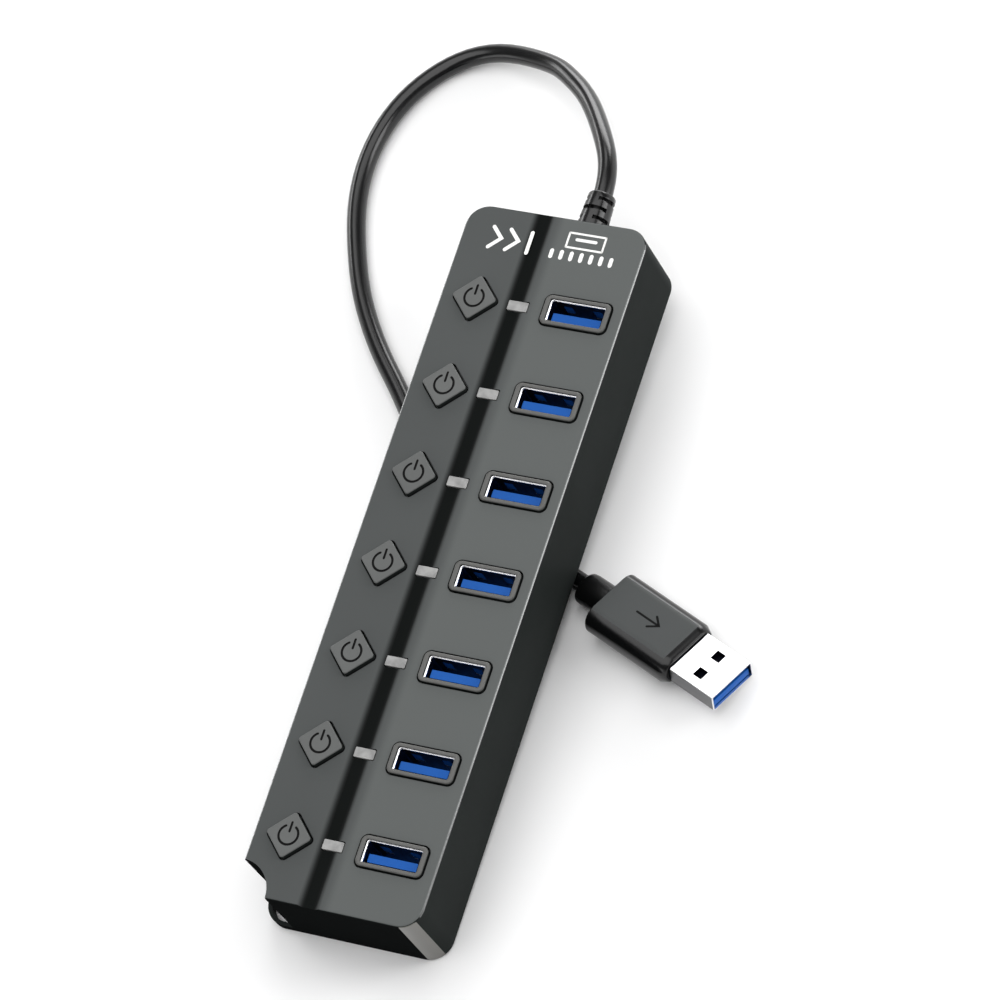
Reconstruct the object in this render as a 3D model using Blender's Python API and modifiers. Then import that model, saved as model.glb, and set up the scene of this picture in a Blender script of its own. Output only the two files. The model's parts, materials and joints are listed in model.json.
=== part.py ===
"""Seven-port USB hub with a power button and a status light for each port.

Metres, +Z up. The case lies on its back, ports up, across its own cord, so it leans by the height of
that cord. The origin is on the table, under the middle of the case; +Y points to the cord's end.
"""

import math

import bmesh
import bpy
from mathutils import Matrix, Vector

# Case
CASE_WIDTH = 0.042
CASE_LENGTH = 0.160
CASE_HEIGHT = 0.020
CORNER_RADIUS = 0.005
EDGE_ROUND = 0.0005
WALL = 0.0018
FACE = 0.0020
GAP = 0.0003

# Face layout: one row for each port, all rows alike
PORT_COUNT = 7
ROW_PITCH = 0.0207
ROWS_MIDDLE_Y = -0.0036
PORT_X = 0.0105
LIGHT_X = -0.0029
BUTTON_X = -0.0128
CONTROLS_BELOW_PORTS = 0.0003

# Groove along the face
GROOVE_X = -0.0038
GROOVE_FLOOR = 0.0026
GROOVE_MOUTH = 0.0056
GROOVE_DEPTH = 0.0004

# Sockets
MOUTH_WIDTH = 0.0128
MOUTH_HEIGHT = 0.0050
BEZEL_WIDTH = 0.0151
BEZEL_HEIGHT = 0.0068
BEZEL_PROUD = 0.0006
BEZEL_CORNER = 0.0013
BEZEL_LIP = 0.0005
BEZEL_FLANGE_WIDTH = 0.0168
BEZEL_FLANGE_HEIGHT = 0.0086
BEZEL_FLANGE_THICKNESS = 0.0008
SHELL_WALL = 0.00025
SHELL_FIT = 0.0002
TONGUE_WIDTH = 0.0111
TONGUE_THICKNESS = 0.00184
TONGUE_OFFSET = -0.00092
TONGUE_BELOW_MOUTH = 0.0010
INSULATOR_FOOT = 0.0030

# Buttons, switches and lights
BUTTON_SIDE = 0.0074
BUTTON_CORNER = 0.0007
BUTTON_PROUD = 0.0010
BUTTON_FLANGE = 0.0086
BUTTON_FLANGE_THICKNESS = 0.0009
BUTTON_TRAVEL = 0.0012
STEM_RADIUS = 0.0015
SWITCH_SIDE = 0.0074
SWITCH_TOP = 0.0122
SWITCH_WELL = 0.0030
LIGHT_WIDTH = 0.0046
LIGHT_HEIGHT = 0.0022
LIGHT_FIT = 0.0002
LIGHT_FLANGE = (0.0060, 0.0032, 0.0008)
LIGHT_ABOVE_BOARD = 0.0017

# Inside
BOARD_WIDTH = 0.0354
BOARD_LENGTH = 0.141
BOARD_BOTTOM = 0.0045
BOARD_TOP = 0.0061
ON_BOARD = BOARD_TOP + GAP
PLATE_THICKNESS = 0.0018
BOARD_RIB_X = 0.0150
BOARD_RIB_WIDTH = 0.0012
BOARD_RIB_LENGTH = 0.128
CHIP_SIZE = (0.0070, 0.0070, 0.0009)
CAN_SIZE = (0.0100, 0.0044, 0.0032)
BOSSES = ((-0.0090, -0.0748), (0.0155, -0.0748), (-0.0155, 0.0748), (0.0155, 0.0748))
BOSS_RADIUS = 0.0027
SCREW_HOLE = 0.0014
SCREW_RADIUS = 0.0011
SCREW_TIP = 0.0100
SCREW_WELL = 0.0110
HEAD_RADIUS = 0.0020
HEAD_TOP = 0.0008

# Lanyard notch at one corner, bridged at the base by a thin bar
NOTCH_RADIUS = 0.0073
EYE_BAR = 0.0009
EYE_BAR_HEIGHT = 0.0024
EYE_STEP = 0.0002

# Cord end
RELIEF_X = 0.0030
RELIEF_Z = 0.0100
RELIEF_TIP = 0.0906
RELIEF_ROOT_RADIUS = 0.00355
RELIEF_TIP_RADIUS = 0.00305
RELIEF_NECK = 0.0027
RELIEF_FLANGE = 0.0044
RELIEF_FLANGE_THICKNESS = 0.0015
RELIEF_RIBS = 4
CORD_DIAMETER = 0.0042
CORD_STEPS_PER_SPAN = 2
CORD_TAIL = 0.0045

# How the case leans on its cord
CROSSING_Y = 0.0094
LEAN_SINE = (CORD_DIAMETER + 0.0004) / (CASE_LENGTH / 2 - EDGE_ROUND + CROSSING_Y)
LEAN = math.asin(LEAN_SINE)

# The cord's way from the strain relief to the plug, on the table from its eighth point on
CORD_ROUTE = (
    (0.0030, 0.0908, 0.0188),
    (0.0019, 0.0970, 0.0186),
    (-0.0018, 0.1042, 0.0172),
    (-0.0107, 0.1159, 0.0125),
    (-0.0187, 0.1225, 0.0096),
    (-0.0257, 0.1265, 0.0070),
    (-0.0400, 0.1292, 0.0035),
    (-0.0509, 0.1249, 0.0021),
    (-0.0588, 0.1144, 0.0021),
    (-0.0620, 0.1017, 0.0021),
    (-0.0608, 0.0885, 0.0021),
    (-0.0563, 0.0759, 0.0021),
    (-0.0506, 0.0644, 0.0021),
    (-0.0426, 0.0534, 0.0021),
    (-0.0348, 0.0450, 0.0021),
    (-0.0272, 0.0358, 0.0021),
    (-0.0201, 0.0258, 0.0021),
    (-0.0128, 0.0178, 0.0021),
    (-0.0040, 0.0134, 0.0021),
    (0.0055, 0.0122, 0.0021),
    (0.0140, 0.0111, 0.0021),
    (0.0190, 0.0095, 0.0021),
    (0.0227, 0.0080, 0.0024),
)

# Plug
PLUG_CENTRE = (0.0404, 0.0001, 0.0048)
PLUG_HEADING = math.radians(-22.3)
PLUG_ROLL = math.radians(-14)
GRIP_BACK = -0.0109
GRIP_FRONT = 0.0117
GRIP_WIDTH = 0.0156
GRIP_HEIGHT = 0.0076
BOOT_BACK = -0.0190
NOSE_TIP = 0.0239
NOSE_WIDTH = 0.0120
NOSE_HEIGHT = 0.0045
NOSE_WALL = 0.0003
NOSE_WINDOW = (0.0022, 0.0024)
NOSE_WINDOW_Y = 0.0027
NOSE_WINDOW_BACK = 0.0062


def clear_scene():
    for obj in list(bpy.data.objects):
        bpy.data.objects.remove(obj)


def new_collection(name):
    collection = bpy.data.collections.new(name)
    bpy.context.scene.collection.children.link(collection)
    return collection


def new_material(name, color, roughness, metallic=0.0):
    material = bpy.data.materials.new(name)
    material.use_nodes = True
    shader = material.node_tree.nodes["Principled BSDF"]
    shader.inputs["Base Color"].default_value = (*color, 1.0)
    shader.inputs["Roughness"].default_value = roughness
    shader.inputs["Metallic"].default_value = metallic
    return material


clear_scene()
PARTS = new_collection("usb_hub")
CUTTERS = new_collection("cutters")

CASE_PLASTIC = new_material("case_plastic", (0.105, 0.112, 0.112), 0.42)
PLATE_PLASTIC = new_material("plate_plastic", (0.030, 0.031, 0.031), 0.55)
BEZEL_PLASTIC = new_material("bezel_plastic", (0.115, 0.115, 0.110), 0.40)
BUTTON_PLASTIC = new_material("button_plastic", (0.095, 0.098, 0.096), 0.40)
LIGHT_PLASTIC = new_material("light_pipe_plastic", (0.70, 0.71, 0.70), 0.30)
SOCKET_METAL = new_material("socket_metal", (0.78, 0.78, 0.80), 0.22, metallic=1.0)
BLUE_PLASTIC = new_material("blue_plastic", (0.020, 0.120, 0.430), 0.40)
SWITCH_PLASTIC = new_material("switch_plastic", (0.020, 0.020, 0.020), 0.50)
BOARD_LAMINATE = new_material("board_laminate", (0.010, 0.080, 0.035), 0.45)
CHIP_RESIN = new_material("chip_resin", (0.018, 0.018, 0.019), 0.60)
CAN_METAL = new_material("crystal_can_metal", (0.70, 0.70, 0.71), 0.30, metallic=1.0)
SCREW_STEEL = new_material("screw_steel", (0.42, 0.42, 0.43), 0.35, metallic=1.0)
CORD_JACKET = new_material("cord_jacket", (0.018, 0.018, 0.019), 0.32)
GRIP_PLASTIC = new_material("plug_grip_plastic", (0.060, 0.062, 0.062), 0.38)


def new_empty(name, location, rotation):
    empty = bpy.data.objects.new(name, None)
    empty.empty_display_size = 0.02
    empty.location = location
    empty.rotation_euler = rotation
    PARTS.objects.link(empty)
    return empty


CASE_REST = new_empty(
    "case_rest",
    (0, CASE_HEIGHT / 2 * LEAN_SINE, (CASE_LENGTH / 2 - EDGE_ROUND) * LEAN_SINE),
    (LEAN, 0, 0),
)
PLUG_REST = new_empty("plug_rest", PLUG_CENTRE, (PLUG_ROLL, 0, PLUG_HEADING))


# Shapes


def round_edges(bm, edges, width, steps):
    bmesh.ops.bevel(
        bm, geom=edges, offset=width, offset_type="OFFSET", segments=steps, profile=0.5, affect="EDGES"
    )


def edges_at(bm, axis, value):
    """Edges that lie in the plane where one coordinate has this value."""
    return [e for e in bm.edges if all(abs(v.co[axis] - value) < 1e-7 for v in e.verts)]


def edges_along(bm, axis):
    """Edges that run parallel to one axis."""
    first, second = [i for i in range(3) if i != axis]
    runs = [(e, e.verts[1].co - e.verts[0].co) for e in bm.edges]
    return [e for e, run in runs if abs(run[first]) < 1e-7 and abs(run[second]) < 1e-7]


def block(size, low_z, centre=(0, 0), corner=0.0, top=0.0, bottom=0.0, corner_steps=4, edge_steps=2):
    """A box of width, length and height above low_z, with round upright corners and round rims."""
    bm = bmesh.new()
    middle = Vector((centre[0], centre[1], low_z + size[2] / 2))
    bmesh.ops.create_cube(bm, size=1.0, matrix=Matrix.Translation(middle) @ Matrix.Diagonal((*size, 1)))
    if corner:
        round_edges(bm, edges_along(bm, 2), corner, corner_steps)
    if top:
        round_edges(bm, edges_at(bm, 2, low_z + size[2]), top, edge_steps)
    if bottom:
        round_edges(bm, edges_at(bm, 2, low_z), bottom, edge_steps)
    return bm


def diamond(side, height, low_z, centre=(0, 0), corner=0.0, top=0.0):
    """A square block turned to stand on its corner."""
    bm = block((side, side, height), low_z, centre, corner=corner, top=top, corner_steps=3)
    turn = Matrix.Rotation(math.pi / 4, 3, "Z")
    bmesh.ops.rotate(bm, cent=(centre[0], centre[1], 0), matrix=turn, verts=bm.verts)
    return bm


def post(radius, low_z, high_z, centre=(0, 0), sides=24):
    bm = bmesh.new()
    middle = Matrix.Translation((centre[0], centre[1], (low_z + high_z) / 2))
    depth = high_z - low_z
    bmesh.ops.create_cone(
        bm, cap_ends=True, segments=sides, radius1=radius, radius2=radius, depth=depth, matrix=middle
    )
    return bm


def merged(shapes):
    """One mesh that holds several separate shapes."""
    whole = bmesh.new()
    for shape in shapes:
        mesh = bpy.data.meshes.new("shape")
        shape.to_mesh(mesh)
        shape.free()
        whole.from_mesh(mesh)
        bpy.data.meshes.remove(mesh)
    return whole


def mesh_of(name, bm):
    mesh = bpy.data.meshes.new(name)
    bm.to_mesh(mesh)
    bm.free()
    return mesh


def add_part(name, mesh, material, parent, location=(0, 0, 0)):
    obj = bpy.data.objects.new(name, mesh)
    if not mesh.materials:
        mesh.materials.append(material)
    obj.location = location
    obj.parent = parent
    PARTS.objects.link(obj)
    return obj


def add_cutter(name, bm, parent):
    obj = bpy.data.objects.new(name, mesh_of(name, bm))
    obj.parent = parent
    obj.display_type = "WIRE"
    obj.hide_render = True
    CUTTERS.objects.link(obj)
    return obj


def combine(obj, other, operation):
    boolean = obj.modifiers.new(other.name, "BOOLEAN")
    boolean.operation = operation
    boolean.solver = "EXACT"
    boolean.object = other


def cut(obj, name, bm):
    cutter = add_cutter(name, bm, obj.parent)
    combine(obj, cutter, "DIFFERENCE")
    return cutter


def join(obj, name, bm):
    combine(obj, add_cutter(name, bm, obj.parent), "UNION")


def shade(mesh):
    mesh.shade_smooth()
    mesh.set_sharp_from_angle(angle=math.radians(35))


def baked(obj):
    """Turns an object's modifier stack into a mesh that several objects can share."""
    graph = bpy.context.evaluated_depsgraph_get()
    mesh = bpy.data.meshes.new_from_object(obj.evaluated_get(graph))
    cutters = [modifier.object for modifier in obj.modifiers if modifier.type == "BOOLEAN"]
    for used in (obj, *cutters):
        bpy.data.objects.remove(used)
    shade(mesh)
    return mesh


def row_heights(below=0.0):
    """The Y of each row of the face, the first one nearest to the cord."""
    middle = (PORT_COUNT - 1) / 2
    return [ROWS_MIDDLE_Y - below + (middle - i) * ROW_PITCH for i in range(PORT_COUNT)]


def add_row_parts(name, mesh, material, x, below=0.0):
    """One copy of a part in each row, all of them sharing a mesh."""
    for number, y in enumerate(row_heights(below), start=1):
        add_part(f"{name}_{number}", mesh, material, CASE_REST, location=(x, y, 0))


def turned(name, profile, material, parent, steps=24):
    """A Screw modifier turns a profile of (radius, height) pairs, listed from top to bottom."""
    bm = bmesh.new()
    points = [bm.verts.new((radius, 0, height)) for radius, height in profile]
    for start, end in zip(points, points[1:]):
        bm.edges.new((start, end))
    obj = add_part(name, mesh_of(name, bm), material, parent)
    screw = obj.modifiers.new("turn", "SCREW")
    screw.steps = steps
    screw.render_steps = steps
    screw.use_merge_vertices = True
    screw.merge_threshold = 0.00001
    return obj


# Case


def notch_corner():
    return (-CASE_WIDTH / 2, -CASE_LENGTH / 2)


def case_block(inset, low_z, height):
    """The outline of the case, moved inwards by an inset."""
    size = (CASE_WIDTH - 2 * inset, CASE_LENGTH - 2 * inset, height)
    return block(size, low_z, corner=CORNER_RADIUS - inset, corner_steps=6)


def make_top_cover():
    size = (CASE_WIDTH, CASE_LENGTH, CASE_HEIGHT)
    shell = block(size, 0, corner=CORNER_RADIUS, top=EDGE_ROUND, bottom=EDGE_ROUND, corner_steps=6)
    cover = add_part("top_cover", mesh_of("top_cover", shell), CASE_PLASTIC, CASE_REST)
    shade(cover.data)

    inner_top = CASE_HEIGHT - FACE
    hollow = cut(cover, "case_hollow", case_block(WALL, -0.001, inner_top + 0.001))
    notch_wall = post(NOTCH_RADIUS + WALL, -0.002, CASE_HEIGHT, notch_corner(), sides=48)
    cut(hollow, "notch_wall", notch_wall)

    notch = post(NOTCH_RADIUS, EYE_BAR_HEIGHT, CASE_HEIGHT + 0.001, notch_corner(), sides=48)
    cut(cover, "lanyard_notch", notch)
    eye = cut(cover, "lanyard_eye", case_block(EYE_BAR, -0.001, EYE_BAR_HEIGHT + 0.0015))
    eye_post = post(NOTCH_RADIUS - EYE_STEP, -0.002, CASE_HEIGHT, notch_corner(), sides=48)
    eye_round = add_cutter("lanyard_eye_round", eye_post, CASE_REST)
    combine(eye, eye_round, "INTERSECT")

    cut_groove(cover)
    cut_face_openings(cover)
    add_bosses(cover, inner_top)

    relief_hole = post(RELIEF_NECK + GAP, -0.004, 0.004)
    across = Matrix.Rotation(math.pi / 2, 4, "X")
    to_wall = Matrix.Translation((RELIEF_X, CASE_LENGTH / 2, RELIEF_Z))
    bmesh.ops.transform(relief_hole, matrix=to_wall @ across, verts=relief_hole.verts)
    cut(cover, "relief_hole", relief_hole)


def cut_groove(cover):
    """A shallow groove with sloping sides, open at both ends of the face."""
    size = (GROOVE_FLOOR, CASE_LENGTH + 0.004, 2 * GROOVE_DEPTH)
    groove = block(size, CASE_HEIGHT - GROOVE_DEPTH, centre=(GROOVE_X, 0))
    spread = 2 * GROOVE_MOUTH / GROOVE_FLOOR - 1
    for vertex in groove.verts:
        if vertex.co.z > CASE_HEIGHT:
            vertex.co.x = GROOVE_X + (vertex.co.x - GROOVE_X) * spread
    cut(cover, "face_groove", groove)


def cut_face_openings(cover):
    low = CASE_HEIGHT - FACE - 0.001
    depth = FACE + 0.002
    port_size = (BEZEL_WIDTH + 2 * GAP, BEZEL_HEIGHT + 2 * GAP, depth)
    light_size = (LIGHT_WIDTH + 2 * LIGHT_FIT, LIGHT_HEIGHT + 2 * LIGHT_FIT, depth)
    button_hole = BUTTON_SIDE + 2 * GAP
    ports = [block(port_size, low, (PORT_X, y), corner=BEZEL_CORNER + GAP) for y in row_heights()]
    control_rows = row_heights(CONTROLS_BELOW_PORTS)
    lights = [block(light_size, low, (LIGHT_X, y)) for y in control_rows]
    around = BUTTON_CORNER + GAP
    buttons = [diamond(button_hole, depth, low, (BUTTON_X, y), corner=around) for y in control_rows]
    cut(cover, "port_windows", merged(ports))
    cut(cover, "light_windows", merged(lights))
    cut(cover, "button_windows", merged(buttons))


def add_bosses(cover, inner_top):
    bosses = [post(BOSS_RADIUS, PLATE_THICKNESS + GAP, inner_top + 0.001, at) for at in BOSSES]
    holes = [post(SCREW_HOLE, 0, SCREW_WELL, at, sides=16) for at in BOSSES]
    join(cover, "screw_bosses", merged(bosses))
    cut(cover, "screw_wells", merged(holes))


def make_bottom_cover():
    """The plate that closes the case, flush with its rim, with two ribs that carry the board."""
    plate = case_block(WALL + GAP, 0, PLATE_THICKNESS)
    cover = add_part("bottom_cover", mesh_of("bottom_cover", plate), PLATE_PLASTIC, CASE_REST)
    rib_size = (BOARD_RIB_WIDTH, BOARD_RIB_LENGTH, BOARD_BOTTOM - GAP - PLATE_THICKNESS + 0.0005)
    ribs = [block(rib_size, PLATE_THICKNESS - 0.0005, (x, 0)) for x in (-BOARD_RIB_X, BOARD_RIB_X)]
    join(cover, "board_ribs", merged(ribs))
    clearance = post(NOTCH_RADIUS + WALL + GAP, -0.001, 0.004, notch_corner(), sides=48)
    cut(cover, "notch_clearance", clearance)
    heads = [post(HEAD_RADIUS + GAP, -0.001, HEAD_TOP + GAP, at) for at in BOSSES]
    shanks = [post(SCREW_HOLE, 0.0005, 0.003, at, sides=16) for at in BOSSES]
    cut(cover, "screw_head_wells", merged(heads))
    cut(cover, "screw_clearance", merged(shanks))


def make_screws():
    profile = ((0, SCREW_TIP), (SCREW_RADIUS * 0.6, SCREW_TIP), (SCREW_RADIUS, SCREW_TIP - 0.0006))
    profile += ((SCREW_RADIUS, HEAD_TOP), (HEAD_RADIUS, HEAD_TOP), (HEAD_RADIUS, 0.0004), (0.0016, 0.0001))
    profile += ((0, 0.0001),)
    mesh = baked(turned("screw_form", profile, SCREW_STEEL, CASE_REST, steps=16))
    for number, (x, y) in enumerate(BOSSES, start=1):
        add_part(f"screw_{number}", mesh, SCREW_STEEL, CASE_REST, location=(x, y, 0))


# Sockets


def make_port_bezels():
    """A raised frame around each socket, held under the face by a flange."""
    bezel_top = CASE_HEIGHT + BEZEL_PROUD
    low = CASE_HEIGHT - FACE - 0.0011
    size = (BEZEL_WIDTH, BEZEL_HEIGHT, bezel_top - low)
    ring = block(size, low, corner=BEZEL_CORNER, top=0.0002)
    bezel = add_part("bezel_form", mesh_of("port_bezel", ring), BEZEL_PLASTIC, CASE_REST)
    flange_size = (BEZEL_FLANGE_WIDTH, BEZEL_FLANGE_HEIGHT, BEZEL_FLANGE_THICKNESS)
    flange = block(flange_size, low, corner=BEZEL_CORNER)
    join(bezel, "bezel_flange", flange)
    mouth = block((MOUTH_WIDTH, MOUTH_HEIGHT, 0.006), low - 0.001, corner=0.0004, corner_steps=2)
    cut(bezel, "bezel_mouth", mouth)
    shell_room = 2 * (SHELL_WALL + SHELL_FIT)
    room_height = bezel_top - BEZEL_LIP - low + 0.001
    room_size = (MOUTH_WIDTH + shell_room, MOUTH_HEIGHT + shell_room, room_height)
    cut(bezel, "bezel_room", block(room_size, low - 0.001, corner=0.0006, corner_steps=2))
    add_row_parts("port_bezel", baked(bezel), BEZEL_PLASTIC, PORT_X)


def shell_top():
    return CASE_HEIGHT + BEZEL_PROUD - BEZEL_LIP - GAP


def make_port_shells():
    """The folded metal tube of each socket, standing on the board."""
    height = shell_top() - ON_BOARD
    size = (MOUTH_WIDTH + 2 * SHELL_WALL, MOUTH_HEIGHT + 2 * SHELL_WALL, height)
    tube = block(size, ON_BOARD, corner=0.0005, corner_steps=2)
    shell = add_part("shell_form", mesh_of("port_shell", tube), SOCKET_METAL, CASE_REST)
    bore_size = (MOUTH_WIDTH, MOUTH_HEIGHT, height + 0.002)
    inner = block(bore_size, ON_BOARD - 0.001, corner=0.0004, corner_steps=2)
    cut(shell, "shell_bore", inner)
    add_row_parts("port_shell", baked(shell), SOCKET_METAL, PORT_X)


def make_port_insulators():
    """The blue plastic of each socket: a foot on the board and a tongue that carries the contacts."""
    foot = block((MOUTH_WIDTH - 2 * GAP, MOUTH_HEIGHT - 2 * GAP, INSULATOR_FOOT), ON_BOARD)
    insulator = add_part("insulator_form", mesh_of("port_insulator", foot), BLUE_PLASTIC, CASE_REST)
    tongue_low = ON_BOARD + INSULATOR_FOOT - 0.0010
    tongue_height = shell_top() - TONGUE_BELOW_MOUTH - tongue_low
    tongue_size = (TONGUE_WIDTH, TONGUE_THICKNESS, tongue_height)
    tongue = block(tongue_size, tongue_low, (0, TONGUE_OFFSET), top=0.0002)
    join(insulator, "insulator_tongue", tongue)
    add_row_parts("port_insulator", baked(insulator), BLUE_PLASTIC, PORT_X)


# Buttons, switches and lights


def make_buttons():
    """A diamond cap that slides down into the face, with a stem to the switch below it."""
    cap_low = CASE_HEIGHT - FACE - 0.0008
    cap_height = CASE_HEIGHT + BUTTON_PROUD - cap_low
    cap = diamond(BUTTON_SIDE, cap_height, cap_low, corner=BUTTON_CORNER, top=0.0003)
    button = add_part("button_form", mesh_of("button", cap), BUTTON_PLASTIC, CASE_REST)
    flange_top = CASE_HEIGHT - FACE - GAP
    flange_low = flange_top - BUTTON_FLANGE_THICKNESS
    flange = diamond(BUTTON_FLANGE, BUTTON_FLANGE_THICKNESS, flange_low, corner=0.0012)
    join(button, "button_flange", flange)
    stem_low = SWITCH_TOP - BUTTON_TRAVEL
    join(button, "button_stem", post(STEM_RADIUS, stem_low, cap_low + 0.0005, sides=20))
    add_row_parts("button", baked(button), BUTTON_PLASTIC, BUTTON_X, CONTROLS_BELOW_PORTS)


def make_switches():
    size = (SWITCH_SIDE, SWITCH_SIDE, SWITCH_TOP - ON_BOARD)
    body = block(size, ON_BOARD, corner=0.0004, top=0.0003, corner_steps=2, edge_steps=1)
    switch = add_part("switch_form", mesh_of("switch", body), SWITCH_PLASTIC, CASE_REST)
    well = post(STEM_RADIUS + 0.0004, SWITCH_TOP - SWITCH_WELL, SWITCH_TOP + 0.001, sides=20)
    cut(switch, "switch_well", well)
    add_row_parts("switch", baked(switch), SWITCH_PLASTIC, BUTTON_X, CONTROLS_BELOW_PORTS)


def make_light_pipes():
    """A translucent bar from the face down to the light on the board."""
    low = BOARD_TOP + LIGHT_ABOVE_BOARD
    bar_size = (LIGHT_WIDTH, LIGHT_HEIGHT, CASE_HEIGHT - low)
    bar = block(bar_size, low, corner=0.0002, top=0.0002, corner_steps=2)
    pipe = add_part("pipe_form", mesh_of("light_pipe", bar), LIGHT_PLASTIC, CASE_REST)
    flange_top = CASE_HEIGHT - FACE - GAP
    join(pipe, "pipe_flange", block(LIGHT_FLANGE, flange_top - LIGHT_FLANGE[2]))
    add_row_parts("light_pipe", baked(pipe), LIGHT_PLASTIC, LIGHT_X, CONTROLS_BELOW_PORTS)


# Board


def make_circuit_board():
    board_size = (BOARD_WIDTH, BOARD_LENGTH, BOARD_TOP - BOARD_BOTTOM)
    board = block(board_size, BOARD_BOTTOM, corner=0.001, corner_steps=2)
    add_part("circuit_board", mesh_of("circuit_board", board), BOARD_LAMINATE, CASE_REST)
    between_rows = ROWS_MIDDLE_Y + ROW_PITCH / 2
    chip = mesh_of("hub_chip", block(CHIP_SIZE, ON_BOARD, top=0.0001, edge_steps=1))
    add_part("hub_chip_1", chip, CHIP_RESIN, CASE_REST, (LIGHT_X, between_rows, 0))
    add_part("hub_chip_2", chip, CHIP_RESIN, CASE_REST, (LIGHT_X, between_rows - 2 * ROW_PITCH, 0))
    can = block(CAN_SIZE, ON_BOARD, corner=0.0021, top=0.0004)
    place = (LIGHT_X, between_rows + ROW_PITCH, 0)
    add_part("crystal_can", mesh_of("crystal_can", can), CAN_METAL, CASE_REST, place)


# Cord


def relief_profile():
    """Radius and height of the strain relief, from its tip down to the flange inside the wall."""
    wall_face = CASE_LENGTH / 2 + GAP
    rib_span = (RELIEF_TIP - wall_face) / RELIEF_RIBS
    points = [(0, RELIEF_TIP)]
    for rib in range(RELIEF_RIBS):
        top = RELIEF_TIP - rib * rib_span
        part = rib / (RELIEF_RIBS - 1)
        radius = RELIEF_TIP_RADIUS + (RELIEF_ROOT_RADIUS - RELIEF_TIP_RADIUS) * part
        ring = ((radius - 0.0002, top), (radius, top - 0.0002), (radius, top - 0.65 * rib_span))
        points.extend(ring)
        points.append((radius - 0.0005, top - 0.70 * rib_span))
        points.append((radius - 0.0005, top - 0.95 * rib_span))
    inside = CASE_LENGTH / 2 - WALL - GAP
    points += [(RELIEF_ROOT_RADIUS, wall_face + 0.0001), (RELIEF_ROOT_RADIUS, wall_face)]
    points += [(RELIEF_NECK, wall_face), (RELIEF_NECK, inside)]
    flange_end = inside - RELIEF_FLANGE_THICKNESS
    points += [(RELIEF_FLANGE, inside), (RELIEF_FLANGE, flange_end), (0, flange_end)]
    return points


def make_strain_relief():
    relief = turned("strain_relief", relief_profile(), CORD_JACKET, CASE_REST)
    relief.location = (RELIEF_X, 0, RELIEF_Z)
    relief.rotation_euler = (-math.pi / 2, 0, 0)


def smooth_route(points, steps):
    """Points on a Catmull-Rom curve through the route, with this many steps for each span."""
    route = [Vector(p) for p in points]
    ends = [2 * route[0] - route[1], *route, 2 * route[-1] - route[-2]]
    smooth = []
    for a, b, c, d in zip(ends, ends[1:], ends[2:], ends[3:]):
        for step in range(steps):
            t = step / steps
            pull = (2 * b) + (c - a) * t + (2 * a - 5 * b + 4 * c - d) * t**2
            smooth.append((pull + (3 * b - a - 3 * c + d) * t**3) / 2)
    smooth.append(route[-1])
    return smooth


def add_tube(name, points, radius, material, parent=None):
    curve = bpy.data.curves.new(name, "CURVE")
    curve.dimensions = "3D"
    curve.bevel_depth = radius
    curve.bevel_resolution = 2
    curve.use_fill_caps = True
    spline = curve.splines.new("POLY")
    spline.points.add(len(points) - 1)
    for point, place in zip(spline.points, points):
        point.co = (*place, 1)
    curve.materials.append(material)
    tube = bpy.data.objects.new(name, curve)
    tube.parent = parent
    PARTS.objects.link(tube)


def make_cord():
    add_tube("cord", smooth_route(CORD_ROUTE, CORD_STEPS_PER_SPAN), CORD_DIAMETER / 2, CORD_JACKET)
    inside = CASE_LENGTH / 2 - WALL - GAP - RELIEF_FLANGE_THICKNESS - GAP
    tail = [(RELIEF_X, y, RELIEF_Z) for y in (inside, inside - CORD_TAIL)]
    add_tube("cord_tail", tail, CORD_DIAMETER / 2, CORD_JACKET, CASE_REST)


# Plug


def loft(rings):
    """A closed solid through rings that all have the same number of points."""
    bm = bmesh.new()
    loops = [[bm.verts.new(point) for point in ring] for ring in rings]
    count = len(loops[0])
    for near, far in zip(loops, loops[1:]):
        for i in range(count):
            j = (i + 1) % count
            bm.faces.new((near[i], near[j], far[j], far[i]))
    bm.faces.new(loops[0])
    bm.faces.new(loops[-1])
    bmesh.ops.recalc_face_normals(bm, faces=bm.faces)
    return bm


def oval(x, half_width, half_height, sides=24):
    """A ring across the rolled plug whose lowest point is just above the table."""
    roll_sine, roll_cosine = math.sin(PLUG_ROLL), math.cos(PLUG_ROLL)
    drop = PLUG_CENTRE[2] - 0.0001 - math.hypot(half_width * roll_sine, half_height * roll_cosine)
    y, z = -drop * roll_sine, -drop * roll_cosine
    turns = [2 * math.pi * i / sides for i in range(sides)]
    return [(x, y + half_width * math.cos(a), z + half_height * math.sin(a)) for a in turns]


def boot_form():
    """The boot keeps to the table while its back end comes down to the height of the cord."""
    back = BOOT_BACK
    rings = []
    for x, half_width, half_height in (
        (back, 0.0030, 0.0028),
        (back + 0.0003, 0.0034, 0.0032),
        (back + 0.0010, 0.0037, 0.0035),
        (GRIP_BACK + 0.002, 0.0037, 0.0037),
    ):
        rings.append(oval(x, half_width, half_height))
    return loft(rings)


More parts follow.
